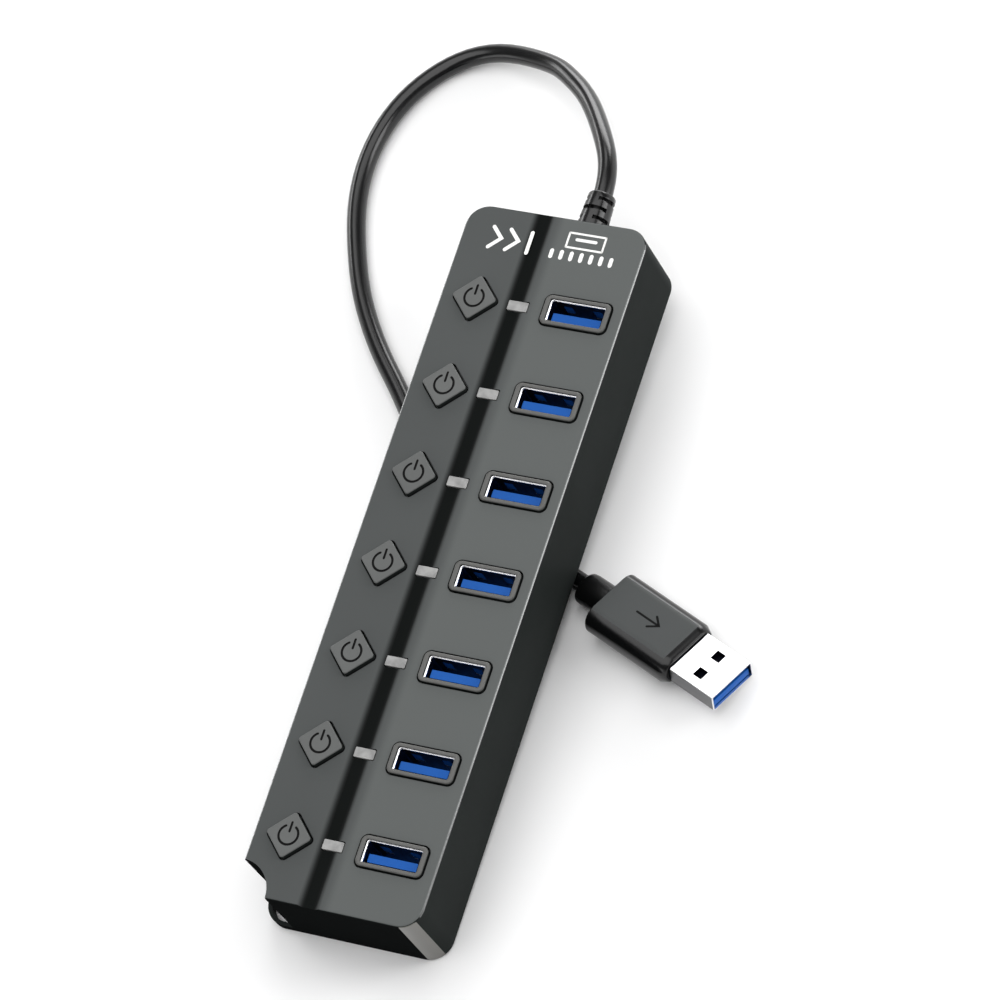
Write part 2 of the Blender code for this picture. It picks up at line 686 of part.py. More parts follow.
def make_plug():
    grip_size = (GRIP_FRONT - GRIP_BACK, GRIP_WIDTH, GRIP_HEIGHT)
    grip = block(grip_size, -GRIP_HEIGHT / 2, ((GRIP_FRONT + GRIP_BACK) / 2, 0))
    round_edges(grip, edges_along(grip, 0), GRIP_HEIGHT / 2 - 0.0001, 6)
    for end in (GRIP_BACK, GRIP_FRONT):
        round_edges(grip, edges_at(grip, 0, end), 0.0005, 2)
    overmould = add_part("plug_overmould", mesh_of("plug_overmould", grip), GRIP_PLASTIC, PLUG_REST)
    shade(overmould.data)
    join(overmould, "plug_boot", boot_form())

    nose_back = GRIP_FRONT + GAP
    nose_middle = ((NOSE_TIP + nose_back) / 2, 0)
    nose_size = (NOSE_TIP - nose_back, NOSE_WIDTH, NOSE_HEIGHT)
    tube = block(nose_size, -NOSE_HEIGHT / 2, nose_middle)
    round_edges(tube, edges_along(tube, 0), 0.0004, 2)
    shell = add_part("plug_shell", mesh_of("plug_shell", tube), SOCKET_METAL, PLUG_REST)
    bore_size = (nose_size[0] + 0.002, NOSE_WIDTH - 2 * NOSE_WALL, NOSE_HEIGHT - 2 * NOSE_WALL)
    cut(shell, "plug_bore", block(bore_size, -bore_size[2] / 2, nose_middle))
    places = [(NOSE_TIP - NOSE_WINDOW_BACK, y) for y in (-NOSE_WINDOW_Y, NOSE_WINDOW_Y)]
    windows = [block((*NOSE_WINDOW, 0.002), 0.0010, place) for place in places]
    cut(shell, "plug_windows", merged(windows))

    fit = 0.0002
    insert_size = (nose_size[0] - 0.0009, bore_size[1] - 2 * fit, bore_size[2] / 2 - fit)
    insert = block(insert_size, -bore_size[2] / 2 + fit, (nose_middle[0] - 0.0001, 0))
    add_part("plug_insulator", mesh_of("plug_insulator", insert), BLUE_PLASTIC, PLUG_REST)


make_top_cover()
make_bottom_cover()
make_screws()
make_port_bezels()
make_port_shells()
make_port_insulators()
make_buttons()
make_switches()
make_light_pipes()
make_circuit_board()
make_strain_relief()
make_cord()
make_plug()
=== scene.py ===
# %% [markdown]
# A seven-port hub on a pale table. The engineering model gives every solid its size and place. This
# script loads it as a fixed frame and builds the fine surface round it: rounded edges, ribs, folded
# metal, and a node material for each piece.

# %% Load the frame
import json
import math

import bmesh
import bpy
from mathutils import Matrix, Vector


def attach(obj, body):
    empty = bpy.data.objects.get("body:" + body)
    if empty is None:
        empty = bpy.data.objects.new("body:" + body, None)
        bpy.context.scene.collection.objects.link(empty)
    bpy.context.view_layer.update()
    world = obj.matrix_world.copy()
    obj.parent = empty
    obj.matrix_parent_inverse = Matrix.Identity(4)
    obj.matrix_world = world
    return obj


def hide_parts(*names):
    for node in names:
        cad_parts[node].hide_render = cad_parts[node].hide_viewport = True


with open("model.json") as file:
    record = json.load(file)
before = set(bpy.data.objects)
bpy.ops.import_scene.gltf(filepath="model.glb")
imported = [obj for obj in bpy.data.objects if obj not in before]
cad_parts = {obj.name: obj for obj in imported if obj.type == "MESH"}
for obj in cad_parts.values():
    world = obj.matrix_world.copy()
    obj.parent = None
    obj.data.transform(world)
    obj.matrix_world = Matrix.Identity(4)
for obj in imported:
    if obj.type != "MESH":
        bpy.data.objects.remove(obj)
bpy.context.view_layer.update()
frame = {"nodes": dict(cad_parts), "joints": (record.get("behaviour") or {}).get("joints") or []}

MM = 0.001

# %% [markdown]
# The case leans, because it lies across its own cord. A push button travels straight into the face, so
# the direction of its joint gives the lean, and turning the cover back by that angle gives its corner.
# Everything on the case is then made level, in the case's own frame, and leaned once at the end.

# %% The case's own frame
press_axis = frame["joints"][0]["axis"]
lean = math.asin(press_axis[1])
level = Matrix.Rotation(-lean, 4, "X")


def box_in(node, back):
    """The lowest and highest corner of a solid, seen in another frame."""
    points = [back @ vertex.co for vertex in frame["nodes"][node].data.vertices]
    low = Vector(min(p[i] for p in points) for i in range(3))
    high = Vector(max(p[i] for p in points) for i in range(3))
    return low, high


low, high = box_in("top_cover", level)
CASE = Matrix.Rotation(lean, 4, "X") @ Matrix.Translation(((low.x + high.x) / 2, (low.y + high.y) / 2, low.z))
FACE_Z = high.z - low.z
CASE_HALF = Vector(((high.x - low.x) / 2, (high.y - low.y) / 2, 0))


def case_box(node):
    return box_in(node, CASE.inverted())


def middle_of(node, z=0.0):
    near, far = case_box(node)
    return Vector(((near.x + far.x) / 2, (near.y + far.y) / 2, z))


def size_of(node):
    near, far = case_box(node)
    return far - near


PORTS = range(1, 8)
print("lean in degrees:", round(math.degrees(lean), 2), "case in mm:", [round(v / MM, 2) for v in high - low])

# %% [markdown]
# The camera is a long lens above the socket side and the end without the cord, rolled so that the hub
# stands aslant in the view. An angle round the object, an angle above it and a roll about the lens
# say all of that.

# %% Camera
LENS = 210.48
SENSOR = 36
AIM = Vector((0.00769, 0.01407, 0.02484))
AROUND = math.radians(47.81)
ABOVE = math.radians(57.65)
ROLL = math.radians(-32.479)
DISTANCE = 1.21672

toward_camera = Vector(
    (math.sin(AROUND) * math.cos(ABOVE), -math.cos(AROUND) * math.cos(ABOVE), math.sin(ABOVE))
)
camera = bpy.data.objects.new("camera", bpy.data.cameras.new("camera"))
camera.data.lens = LENS
camera.data.sensor_width = SENSOR
upright = toward_camera.to_track_quat("Z", "Y").to_matrix()
camera.matrix_world = Matrix.Translation(AIM + DISTANCE * toward_camera) @ (
    upright @ Matrix.Rotation(ROLL, 3, "Z")
).to_4x4()
bpy.context.scene.collection.objects.link(camera)
bpy.context.scene.camera = camera
bpy.context.scene.view_settings.view_transform = "Standard"
print("camera at", [round(v, 3) for v in camera.matrix_world.translation])

# %% [markdown]
# Materials come next, because every piece needs one as it is made. Moulded plastic is never one flat
# colour: the tool leaves a fine grain, the shade drifts a little, and the gloss varies with handling.
# Each of those is a noise texture on Object coordinates, at its own scale.

# %% Moulded plastic
def empty_material(name):
    """A new material with an empty node tree."""
    material = bpy.data.materials.new(name)
    material.use_nodes = True
    material.node_tree.nodes.clear()
    return material, material.node_tree


def moulded_plastic(name, colour, roughness, specular, grain=0.06, grain_scale=9000, drift=0.08, coat=0.0):
    material, tree = empty_material(name)

    colour_frame = tree.nodes.new("NodeFrame")
    colour_frame.label = "shade of the plastic"
    surface_frame = tree.nodes.new("NodeFrame")
    surface_frame.label = "grain and gloss"

    place = tree.nodes.new("ShaderNodeTexCoord")
    place.label = "place on the piece"

    shade_noise = tree.nodes.new("ShaderNodeTexNoise")
    shade_noise.label = "slow drift of the shade"
    shade_noise.inputs["Scale"].default_value = 45
    shade_noise.inputs["Detail"].default_value = 3

    shade_ramp = tree.nodes.new("ShaderNodeValToRGB")
    shade_ramp.label = "darker and lighter plastic"
    shade_ramp.color_ramp.elements[0].position = 0.3
    shade_ramp.color_ramp.elements[0].color = (*[c * (1 - drift) for c in colour], 1)
    shade_ramp.color_ramp.elements[1].position = 0.7
    shade_ramp.color_ramp.elements[1].color = (*[c * (1 + drift) for c in colour], 1)

    grain_noise = tree.nodes.new("ShaderNodeTexNoise")
    grain_noise.label = "fine grain of the mould"
    grain_noise.inputs["Scale"].default_value = grain_scale
    grain_noise.inputs["Detail"].default_value = 2

    gloss_noise = tree.nodes.new("ShaderNodeTexNoise")
    gloss_noise.label = "patches of handling"
    gloss_noise.inputs["Scale"].default_value = 120
    gloss_noise.inputs["Detail"].default_value = 4

    gloss_range = tree.nodes.new("ShaderNodeMapRange")
    gloss_range.label = "roughness from patch to patch"
    gloss_range.inputs["To Min"].default_value = roughness - 0.05
    gloss_range.inputs["To Max"].default_value = roughness + 0.05

    bump = tree.nodes.new("ShaderNodeBump")
    bump.label = "depth of the grain"
    bump.inputs["Strength"].default_value = grain
    bump.inputs["Distance"].default_value = 0.0001

    shader = tree.nodes.new("ShaderNodeBsdfPrincipled")
    shader.label = "plastic"
    shader.inputs["Specular IOR Level"].default_value = specular
    shader.inputs["Coat Weight"].default_value = coat
    shader.inputs["Coat Roughness"].default_value = 0.12

    output = tree.nodes.new("ShaderNodeOutputMaterial")
    output.label = "surface"

    for node in (shade_noise, shade_ramp):
        node.parent = colour_frame
    for node in (grain_noise, gloss_noise, gloss_range, bump):
        node.parent = surface_frame
    for node, across, up in (
        (place, -1100, 0), (shade_noise, -850, 260), (shade_ramp, -600, 260), (grain_noise, -850, -120),
        (gloss_noise, -850, -400), (gloss_range, -600, -400), (bump, -600, -120), (shader, -250, 100),
        (output, 50, 100),
    ):
        node.location = (across, up)

    tree.links.new(place.outputs["Object"], shade_noise.inputs["Vector"])
    tree.links.new(place.outputs["Object"], grain_noise.inputs["Vector"])
    tree.links.new(place.outputs["Object"], gloss_noise.inputs["Vector"])
    tree.links.new(shade_noise.outputs["Fac"], shade_ramp.inputs["Fac"])
    tree.links.new(shade_ramp.outputs["Color"], shader.inputs["Base Color"])
    tree.links.new(gloss_noise.outputs["Fac"], gloss_range.inputs["Value"])
    tree.links.new(gloss_range.outputs["Result"], shader.inputs["Roughness"])
    tree.links.new(grain_noise.outputs["Fac"], bump.inputs["Height"])
    tree.links.new(bump.outputs["Normal"], shader.inputs["Normal"])
    tree.links.new(shader.outputs["BSDF"], output.inputs["Surface"])
    return material


# The case's sides and ends are the face's plastic painted darker: painted shade, darkest on the ends. The
# same painted shade goes on the upright walls of the port frames and the buttons.
SHADED_SIDE_PLASTIC = moulded_plastic("case_side_painted_shade", (0.0170, 0.0195, 0.0188), 0.45, 0.01)
SHADED_END_PLASTIC = moulded_plastic("case_end_painted_shade", (0.0058, 0.0064, 0.0064), 0.45, 0.0)
FRAME_PLASTIC = moulded_plastic("port_frame_plastic", (0.082, 0.082, 0.078), 0.38, 0.4)
BUTTON_PLASTIC = moulded_plastic("button_plastic", (0.095, 0.099, 0.097), 0.42, 0.3, grain=0.12)
SYMBOL_BLACK = moulded_plastic("button_symbol_black", (0.0015, 0.0016, 0.0016), 0.55, 0.1)
BLUE_PLASTIC = moulded_plastic("socket_blue_plastic", (0.010, 0.100, 0.41), 0.45, 0.12)
# Painted shadow: a dark sheet in the plug's nose, for the shade in its hollow.
SHADOW_SHEET_PLASTIC = moulded_plastic("plug_painted_shadow_plastic", (0.0015, 0.0018, 0.0060), 0.5, 0.1)
PLATE_PLASTIC = moulded_plastic(
    "back_plate_plastic", (0.012, 0.0125, 0.0125), 0.55, 0.4, grain=0.2, grain_scale=5000
)
SWITCH_PLASTIC = moulded_plastic("switch_plastic", (0.010, 0.010, 0.010), 0.5, 0.3)
CHIP_RESIN = moulded_plastic("chip_resin", (0.012, 0.012, 0.012), 0.62, 0.3, grain=0.3, grain_scale=6000)
GRIP_TOP_PLASTIC = moulded_plastic("grip_top_plastic", (0.055, 0.059, 0.059), 0.45, 0.2)
GRIP_PLASTIC = moulded_plastic("grip_gloss_plastic", (0.0025, 0.0026, 0.0028), 0.22, 0.4, grain=0.02)
MARK_WHITE = moulded_plastic("mark_white_ink", (0.86, 0.86, 0.84), 0.5, 0.3, drift=0.02)
print("plastics:", [material.name for material in bpy.data.materials])

# %% [markdown]
# The face is the same plastic with two differences. The groove along it is polished nearly black, with
# a soft edge: the groove is straight, so the distance from its middle line is just X, and a smooth
# step on that distance mixes the two shades and the two gloss levels. A second smooth step across the
# groove paints the plastic lighter on the sockets' side: painted light, for light falling across the face.

# %% Face plastic
GROOVE_X = middle_of("light_pipe_1").x - 0.9 * MM
GROOVE_DARK_HALF = 1.3 * MM
GROOVE_LIGHT_HALF = 2.8 * MM
SOCKET_SIDE = (-1.2 * MM, 1.6 * MM)


def face_plastic(name, colour, socket_side_painted_light, groove_colour, roughness, groove_roughness, specular):
    material, tree = empty_material(name)

    groove_frame = tree.nodes.new("NodeFrame")
    groove_frame.label = "dark groove"
    shade_frame = tree.nodes.new("NodeFrame")
    shade_frame.label = "shade of the face"
    surface_frame = tree.nodes.new("NodeFrame")
    surface_frame.label = "grain and gloss"

    place = tree.nodes.new("ShaderNodeTexCoord")
    place.label = "place on the case"

    axes = tree.nodes.new("ShaderNodeSeparateXYZ")
    axes.label = "distance across the case"

    from_middle = tree.nodes.new("ShaderNodeMath")
    from_middle.operation = "SUBTRACT"
    from_middle.label = "measured from the groove"
    from_middle.inputs[1].default_value = GROOVE_X

    either_side = tree.nodes.new("ShaderNodeMath")
    either_side.operation = "ABSOLUTE"
    either_side.label = "on either side"

    soft_edge = tree.nodes.new("ShaderNodeMapRange")
    soft_edge.interpolation_type = "SMOOTHSTEP"
    soft_edge.label = "soft edge of the groove"
    soft_edge.inputs["From Min"].default_value = GROOVE_DARK_HALF
    soft_edge.inputs["From Max"].default_value = GROOVE_LIGHT_HALF

    shade_noise = tree.nodes.new("ShaderNodeTexNoise")
    shade_noise.label = "slow drift of the shade"
    shade_noise.inputs["Scale"].default_value = 30
    shade_noise.inputs["Detail"].default_value = 2

    shade_ramp = tree.nodes.new("ShaderNodeValToRGB")
    shade_ramp.label = "face plastic"
    shade_ramp.color_ramp.elements[0].position = 0.3
    shade_ramp.color_ramp.elements[0].color = (*[c * 0.96 for c in colour], 1)
    shade_ramp.color_ramp.elements[1].position = 0.7
    shade_ramp.color_ramp.elements[1].color = (*[c * 1.04 for c in colour], 1)

    # Painted light: the face is made lighter on the sockets' side.
    toward_sockets = tree.nodes.new("ShaderNodeMapRange")
    toward_sockets.interpolation_type = "SMOOTHSTEP"
    toward_sockets.label = "painted light toward the sockets"
    toward_sockets.inputs["From Min"].default_value = SOCKET_SIDE[0]
    toward_sockets.inputs["From Max"].default_value = SOCKET_SIDE[1]

    side_mix = tree.nodes.new("ShaderNodeMix")
    side_mix.data_type = "RGBA"
    side_mix.label = "button side to socket side"
    side_mix.inputs["B"].default_value = (*socket_side_painted_light, 1)

    shade_mix = tree.nodes.new("ShaderNodeMix")
    shade_mix.data_type = "RGBA"
    shade_mix.label = "groove into face"
    shade_mix.inputs["A"].default_value = (*groove_colour, 1)

    gloss_mix = tree.nodes.new("ShaderNodeMapRange")
    gloss_mix.label = "polished groove, satin face"
    gloss_mix.inputs["To Min"].default_value = groove_roughness
    gloss_mix.inputs["To Max"].default_value = roughness

    grain_noise = tree.nodes.new("ShaderNodeTexNoise")
    grain_noise.label = "fine grain of the mould"
    grain_noise.inputs["Scale"].default_value = 9000
    grain_noise.inputs["Detail"].default_value = 2

    bump = tree.nodes.new("ShaderNodeBump")
    bump.label = "depth of the grain"
    bump.inputs["Strength"].default_value = 0.06
    bump.inputs["Distance"].default_value = 0.0001

    shader = tree.nodes.new("ShaderNodeBsdfPrincipled")
    shader.label = "plastic"
    shader.inputs["Specular IOR Level"].default_value = specular

    output = tree.nodes.new("ShaderNodeOutputMaterial")
    output.label = "surface"

    for node in (axes, from_middle, either_side, soft_edge):
        node.parent = groove_frame
    for node in (shade_noise, shade_ramp, toward_sockets, side_mix, shade_mix):
        node.parent = shade_frame
    for node in (gloss_mix, grain_noise, bump):
        node.parent = surface_frame
    for node, across, up in (
        (place, -1500, 0), (axes, -1300, 500), (from_middle, -1100, 500), (either_side, -900, 500),
        (soft_edge, -700, 500), (shade_noise, -1100, 180), (shade_ramp, -850, 180),
        (toward_sockets, -850, -60), (side_mix, -620, 100), (shade_mix, -450, 300),
        (gloss_mix, -450, 20), (grain_noise, -850, -250), (bump, -450, -250), (shader, -150, 100),
        (output, 150, 100),
    ):
        node.location = (across, up)

    tree.links.new(place.outputs["Object"], axes.inputs["Vector"])
    tree.links.new(axes.outputs["X"], from_middle.inputs[0])
    tree.links.new(from_middle.outputs["Value"], either_side.inputs[0])
    tree.links.new(either_side.outputs["Value"], soft_edge.inputs["Value"])
    tree.links.new(place.outputs["Object"], shade_noise.inputs["Vector"])
    tree.links.new(shade_noise.outputs["Fac"], shade_ramp.inputs["Fac"])
    tree.links.new(soft_edge.outputs["Result"], shade_mix.inputs["Factor"])
    tree.links.new(axes.outputs["X"], toward_sockets.inputs["Value"])
    tree.links.new(toward_sockets.outputs["Result"], side_mix.inputs["Factor"])
    tree.links.new(shade_ramp.outputs["Color"], side_mix.inputs["A"])
    tree.links.new(side_mix.outputs["Result"], shade_mix.inputs["B"])
    tree.links.new(shade_mix.outputs["Result"], shader.inputs["Base Color"])
    tree.links.new(soft_edge.outputs["Result"], gloss_mix.inputs["Value"])
    tree.links.new(gloss_mix.outputs["Result"], shader.inputs["Roughness"])
    tree.links.new(place.outputs["Object"], grain_noise.inputs["Vector"])
    tree.links.new(grain_noise.outputs["Fac"], bump.inputs["Height"])
    tree.links.new(bump.outputs["Normal"], shader.inputs["Normal"])
    tree.links.new(shader.outputs["BSDF"], output.inputs["Surface"])
    return material


# The face's colour on the sockets' side is painted light.
FACE_PLASTIC = face_plastic(
    "case_face_plastic",
    colour=(0.075, 0.080, 0.0795),
    socket_side_painted_light=(0.105, 0.112, 0.110),
    groove_colour=(0.0035, 0.0042, 0.0040),
    roughness=0.46,
    groove_roughness=0.36,
    specular=0.06,
)
RIM_PLASTIC = moulded_plastic("case_rim_plastic", (0.075, 0.080, 0.0795), 0.16, 1.0, grain=0.0, coat=1.0)
# The upright corners are painted lighter and warmer than the sides: a painted highlight, on a glossier coat.
CORNER_HIGHLIGHT_PLASTIC = moulded_plastic("case_corner_painted_highlight", (0.040, 0.038, 0.026), 0.34, 0.8, grain=0.0, coat=0.7)
GROOVE_PLASTIC = moulded_plastic("case_groove_plastic", (0.0050, 0.0060, 0.0057), 0.40, 0.02, grain=0.03)
print("groove in mm:", [round(2 * half / MM, 1) for half in (GROOVE_DARK_HALF, GROOVE_LIGHT_HALF)])

# %% [markdown]
# Bright nickel on the sockets and the plug, the crystal's can, the steel screws and the contacts are
# all metal that was rolled or drawn, so all have faint streaks along one direction. A noise that is
# stretched by a Mapping node makes them, and it drives the roughness and a very small bump.

# %% Metal
def drawn_metal(name, colour, roughness, streaks=(400, 400, 40)):
    material, tree = empty_material(name)

    streak_frame = tree.nodes.new("NodeFrame")
    streak_frame.label = "drawing streaks"

    place = tree.nodes.new("ShaderNodeTexCoord")
    place.label = "place on the piece"

    stretch = tree.nodes.new("ShaderNodeMapping")
    stretch.label = "stretched along the metal"
    stretch.inputs["Scale"].default_value = streaks

    streak_noise = tree.nodes.new("ShaderNodeTexNoise")
    streak_noise.label = "streaks"
    streak_noise.inputs["Scale"].default_value = 12
    streak_noise.inputs["Detail"].default_value = 4

    gloss_range = tree.nodes.new("ShaderNodeMapRange")
    gloss_range.label = "gloss from streak to streak"
    gloss_range.inputs["To Min"].default_value = roughness - 0.05
    gloss_range.inputs["To Max"].default_value = roughness + 0.07

    tone = tree.nodes.new("ShaderNodeValToRGB")
    tone.label = "tone of the metal"
    tone.color_ramp.elements[0].color = (*[c * 0.94 for c in colour], 1)
    tone.color_ramp.elements[1].color = (*colour, 1)

    bump = tree.nodes.new("ShaderNodeBump")
    bump.label = "depth of the streaks"
    bump.inputs["Strength"].default_value = 0.02
    bump.inputs["Distance"].default_value = 0.0001

    shader = tree.nodes.new("ShaderNodeBsdfPrincipled")
    shader.label = "metal"
    shader.inputs["Metallic"].default_value = 1.0

    output = tree.nodes.new("ShaderNodeOutputMaterial")
    output.label = "surface"

    for node in (stretch, streak_noise, gloss_range, tone, bump):
        node.parent = streak_frame
    for node, across, up in (
        (place, -1200, 0), (stretch, -1000, 0), (streak_noise, -800, 0), (gloss_range, -550, 60),
        (tone, -550, 320), (bump, -550, -220), (shader, -200, 100), (output, 100, 100),
    ):
        node.location = (across, up)

    tree.links.new(place.outputs["Object"], stretch.inputs["Vector"])
    tree.links.new(stretch.outputs["Vector"], streak_noise.inputs["Vector"])
    tree.links.new(streak_noise.outputs["Fac"], gloss_range.inputs["Value"])
    tree.links.new(streak_noise.outputs["Fac"], tone.inputs["Fac"])
    tree.links.new(streak_noise.outputs["Fac"], bump.inputs["Height"])
    tree.links.new(tone.outputs["Color"], shader.inputs["Base Color"])
    tree.links.new(gloss_range.outputs["Result"], shader.inputs["Roughness"])
    tree.links.new(bump.outputs["Normal"], shader.inputs["Normal"])
    tree.links.new(shader.outputs["BSDF"], output.inputs["Surface"])
    return material


SOCKET_METAL = drawn_metal("socket_nickel", (0.90, 0.90, 0.92), 0.16)
PLUG_METAL = drawn_metal("plug_nickel", (0.93, 0.93, 0.94), 0.20, streaks=(40, 40, 400))
# The plug nose's sides: the same nickel painted darker, a painted shade.
SHADED_EDGE_METAL = drawn_metal("plug_side_nickel_painted_shade", (0.15, 0.15, 0.155), 0.30, streaks=(40, 40, 400))
# Inside a socket the nickel is painted darker and bluer: painted shade, with a painted reflection of the blue
# tongue.
SHADED_INNER_METAL = drawn_metal("socket_inner_nickel_painted_shade", (0.10, 0.10, 0.13), 0.30)
CAN_METAL = drawn_metal("crystal_can_metal", (0.70, 0.70, 0.71), 0.28)
SCREW_STEEL = drawn_metal("screw_steel", (0.30, 0.30, 0.31), 0.32, streaks=(400, 400, 400))
CONTACT_GOLD = drawn_metal("contact_gold", (0.83, 0.62, 0.30), 0.25)
print("materials so far:", len(bpy.data.materials))

# %% [markdown]
# The small lights are bars of milky acrylic. Light goes a little way in and comes back, which
# subsurface scattering does at the size of the bar. A slow noise makes the milk uneven, and the
# surface has the low gloss of a part straight from the mould.

# %% Milky acrylic
def milky_acrylic(name, colour, cloudy):
    material, tree = empty_material(name)

    milk_frame = tree.nodes.new("NodeFrame")
    milk_frame.label = "milk in the acrylic"

    place = tree.nodes.new("ShaderNodeTexCoord")
    place.label = "place in the bar"

    milk = tree.nodes.new("ShaderNodeTexNoise")
    milk.label = "uneven milk"
    milk.inputs["Scale"].default_value = 420
    milk.inputs["Detail"].default_value = 2

    tone = tree.nodes.new("ShaderNodeValToRGB")
    tone.label = "thin to thick milk"
    tone.color_ramp.elements[0].position = 0.35
    tone.color_ramp.elements[0].color = (*cloudy, 1)
    tone.color_ramp.elements[1].position = 0.65
    tone.color_ramp.elements[1].color = (*colour, 1)

    shader = tree.nodes.new("ShaderNodeBsdfPrincipled")
    shader.label = "acrylic"
    shader.inputs["Roughness"].default_value = 0.28
    shader.inputs["Subsurface Weight"].default_value = 0.25
    shader.inputs["Subsurface Radius"].default_value = (1.0, 1.0, 1.0)
    shader.inputs["Subsurface Scale"].default_value = 0.0006

    output = tree.nodes.new("ShaderNodeOutputMaterial")
    output.label = "surface"

    for node in (milk, tone):
        node.parent = milk_frame
    for node, across, up in (
        (place, -1000, 0), (milk, -800, 0), (tone, -550, 0), (shader, -200, 0), (output, 100, 0),
    ):
        node.location = (across, up)

    tree.links.new(place.outputs["Object"], milk.inputs["Vector"])
    tree.links.new(milk.outputs["Fac"], tone.inputs["Fac"])
    tree.links.new(tone.outputs["Color"], shader.inputs["Base Color"])
    tree.links.new(shader.outputs["BSDF"], output.inputs["Surface"])
    return material


LIGHT_ACRYLIC = milky_acrylic("light_bar_acrylic", (0.31, 0.31, 0.305), (0.20, 0.20, 0.197))
print("light bars:", LIGHT_ACRYLIC.name)

# %% [markdown]
# The cord's jacket is extruded, so it is smoother along its length than across: soft gloss, hardly
# any grain. The circuit board inside is seen only through the gaps, as green lacquer with copper
# tracks under it, and a brick pattern stands for the tracks.

# %% Jacket and board
JACKET_RUBBER = moulded_plastic("cord_jacket_rubber", (0.0020, 0.0021, 0.0023), 0.22, 0.50, grain=0.0)


def lacquered_board(name, lacquer, track):
    material, tree = empty_material(name)

    track_frame = tree.nodes.new("NodeFrame")
    track_frame.label = "copper tracks under the lacquer"

    place = tree.nodes.new("ShaderNodeTexCoord")
    place.label = "place on the board"

    tracks = tree.nodes.new("ShaderNodeTexBrick")
    tracks.label = "tracks"
    tracks.inputs["Color1"].default_value = (*lacquer, 1)
    tracks.inputs["Color2"].default_value = (*[c * 1.2 for c in lacquer], 1)
    tracks.inputs["Mortar"].default_value = (*track, 1)
    tracks.inputs["Scale"].default_value = 260
    tracks.inputs["Mortar Size"].default_value = 0.03

    bump = tree.nodes.new("ShaderNodeBump")
    bump.label = "tracks stand up a little"
    bump.inputs["Strength"].default_value = 0.3
    bump.inputs["Distance"].default_value = 0.0001

    shader = tree.nodes.new("ShaderNodeBsdfPrincipled")
    shader.label = "lacquer"
    shader.inputs["Roughness"].default_value = 0.35

    output = tree.nodes.new("ShaderNodeOutputMaterial")
    output.label = "surface"

    for node in (tracks, bump):
        node.parent = track_frame
    for node, across, up in (
        (place, -1000, 0), (tracks, -750, 0), (bump, -450, -200), (shader, -200, 0), (output, 100, 0),
    ):
        node.location = (across, up)

    tree.links.new(place.outputs["Object"], tracks.inputs["Vector"])
    tree.links.new(tracks.outputs["Color"], shader.inputs["Base Color"])
    tree.links.new(tracks.outputs["Fac"], bump.inputs["Height"])
    tree.links.new(bump.outputs["Normal"], shader.inputs["Normal"])
    tree.links.new(shader.outputs["BSDF"], output.inputs["Surface"])
    return material


BOARD_LACQUER = lacquered_board("board_lacquer", (0.006, 0.070, 0.026), (0.012, 0.12, 0.045))
print("materials so far:", len(bpy.data.materials))

# %% [markdown]
# Nearly every piece of the hub is a rounded rectangle at some height, so one helper gives such an
# outline and another skins a stack of outlines into a closed solid. The stack is coarse where a Bevel
# modifier rounds its edges afterwards; other pieces have their roundings in the stack, and weighted
# normals keep their flat parts flat.

# %% Helpers for shapes
def outline(width, length, corner, z, centre=(0.0, 0.0), steps=8):
    """Points anticlockwise round a rectangle with round corners, at one height."""
    points = []
    for quarter, (side_x, side_y) in enumerate(((1, 1), (-1, 1), (-1, -1), (1, -1))):
        middle_x = centre[0] + side_x * (width / 2 - corner)
        middle_y = centre[1] + side_y * (length / 2 - corner)
        for step in range(steps + 1):
            angle = (quarter + step / steps) * math.pi / 2
            points.append((middle_x + corner * math.cos(angle), middle_y + corner * math.sin(angle), z))
    return points


def skin(rings, around=False):
    """A closed solid through rings of as many points each: capped, or closed into a frame."""
    bm = bmesh.new()
    loops = [[bm.verts.new(point) for point in ring] for ring in rings]
    pairs = list(zip(loops, loops[1:]))
    if around:
        pairs.append((loops[-1], loops[0]))
    for lower, upper in pairs:
        for i in range(len(lower)):
            j = (i + 1) % len(lower)
            bm.faces.new((lower[i], lower[j], upper[j], upper[i]))
    if not around:
        bm.faces.new(loops[0][::-1])
        bm.faces.new(loops[-1])
    bmesh.ops.recalc_face_normals(bm, faces=bm.faces)
    return bm


def block(width, length, corner, heights, centre=(0.0, 0.0), steps=8):
    """A straight block with round corners, between two heights."""
    return skin([outline(width, length, corner, z, centre, steps) for z in heights])


def quarter_round(radius):
    """Inset and height at points of a quarter circle, from a flat end up to an upright wall."""
    angles = [i * math.pi / 10 for i in range(6)]
    return [(radius * (1 - math.sin(a)), radius * (1 - math.cos(a))) for a in angles]


def cylinder(radius, low_z, high_z, centre, sides=48):
    bm = bmesh.new()
    place = Matrix.Translation((centre[0], centre[1], (low_z + high_z) / 2))
    bmesh.ops.create_cone(
        bm, cap_ends=True, segments=sides, radius1=radius, radius2=radius, depth=high_z - low_z, matrix=place
    )
    return bm


def gather(shapes):
    """Several separate shapes in one mesh."""
    whole = bmesh.new()
    for shape in shapes:
        mesh = bpy.data.meshes.new("shape")
        shape.to_mesh(mesh)
        shape.free()
        whole.from_mesh(mesh)
        bpy.data.meshes.remove(mesh)
    return whole


print("points in an outline:", len(outline(10 * MM, 5 * MM, MM, 0)))

# %% [markdown]
# A shape becomes a piece with its materials, and Booleans carve it with other shapes. Two helpers give
# the finish: one rounds sharp edges, the other keeps flat parts flat. At the end a piece is settled:
# moved from the frame in which it was made to its place, and tied to the solid that it stands for.

# %% Helpers for pieces
def new_piece(name, bm, *materials):
    mesh = bpy.data.meshes.new(name)
    bm.to_mesh(mesh)
    bm.free()
    for material in materials:
        mesh.materials.append(material)
    piece = bpy.data.objects.new(name, mesh)
    bpy.context.scene.collection.objects.link(piece)
    return piece


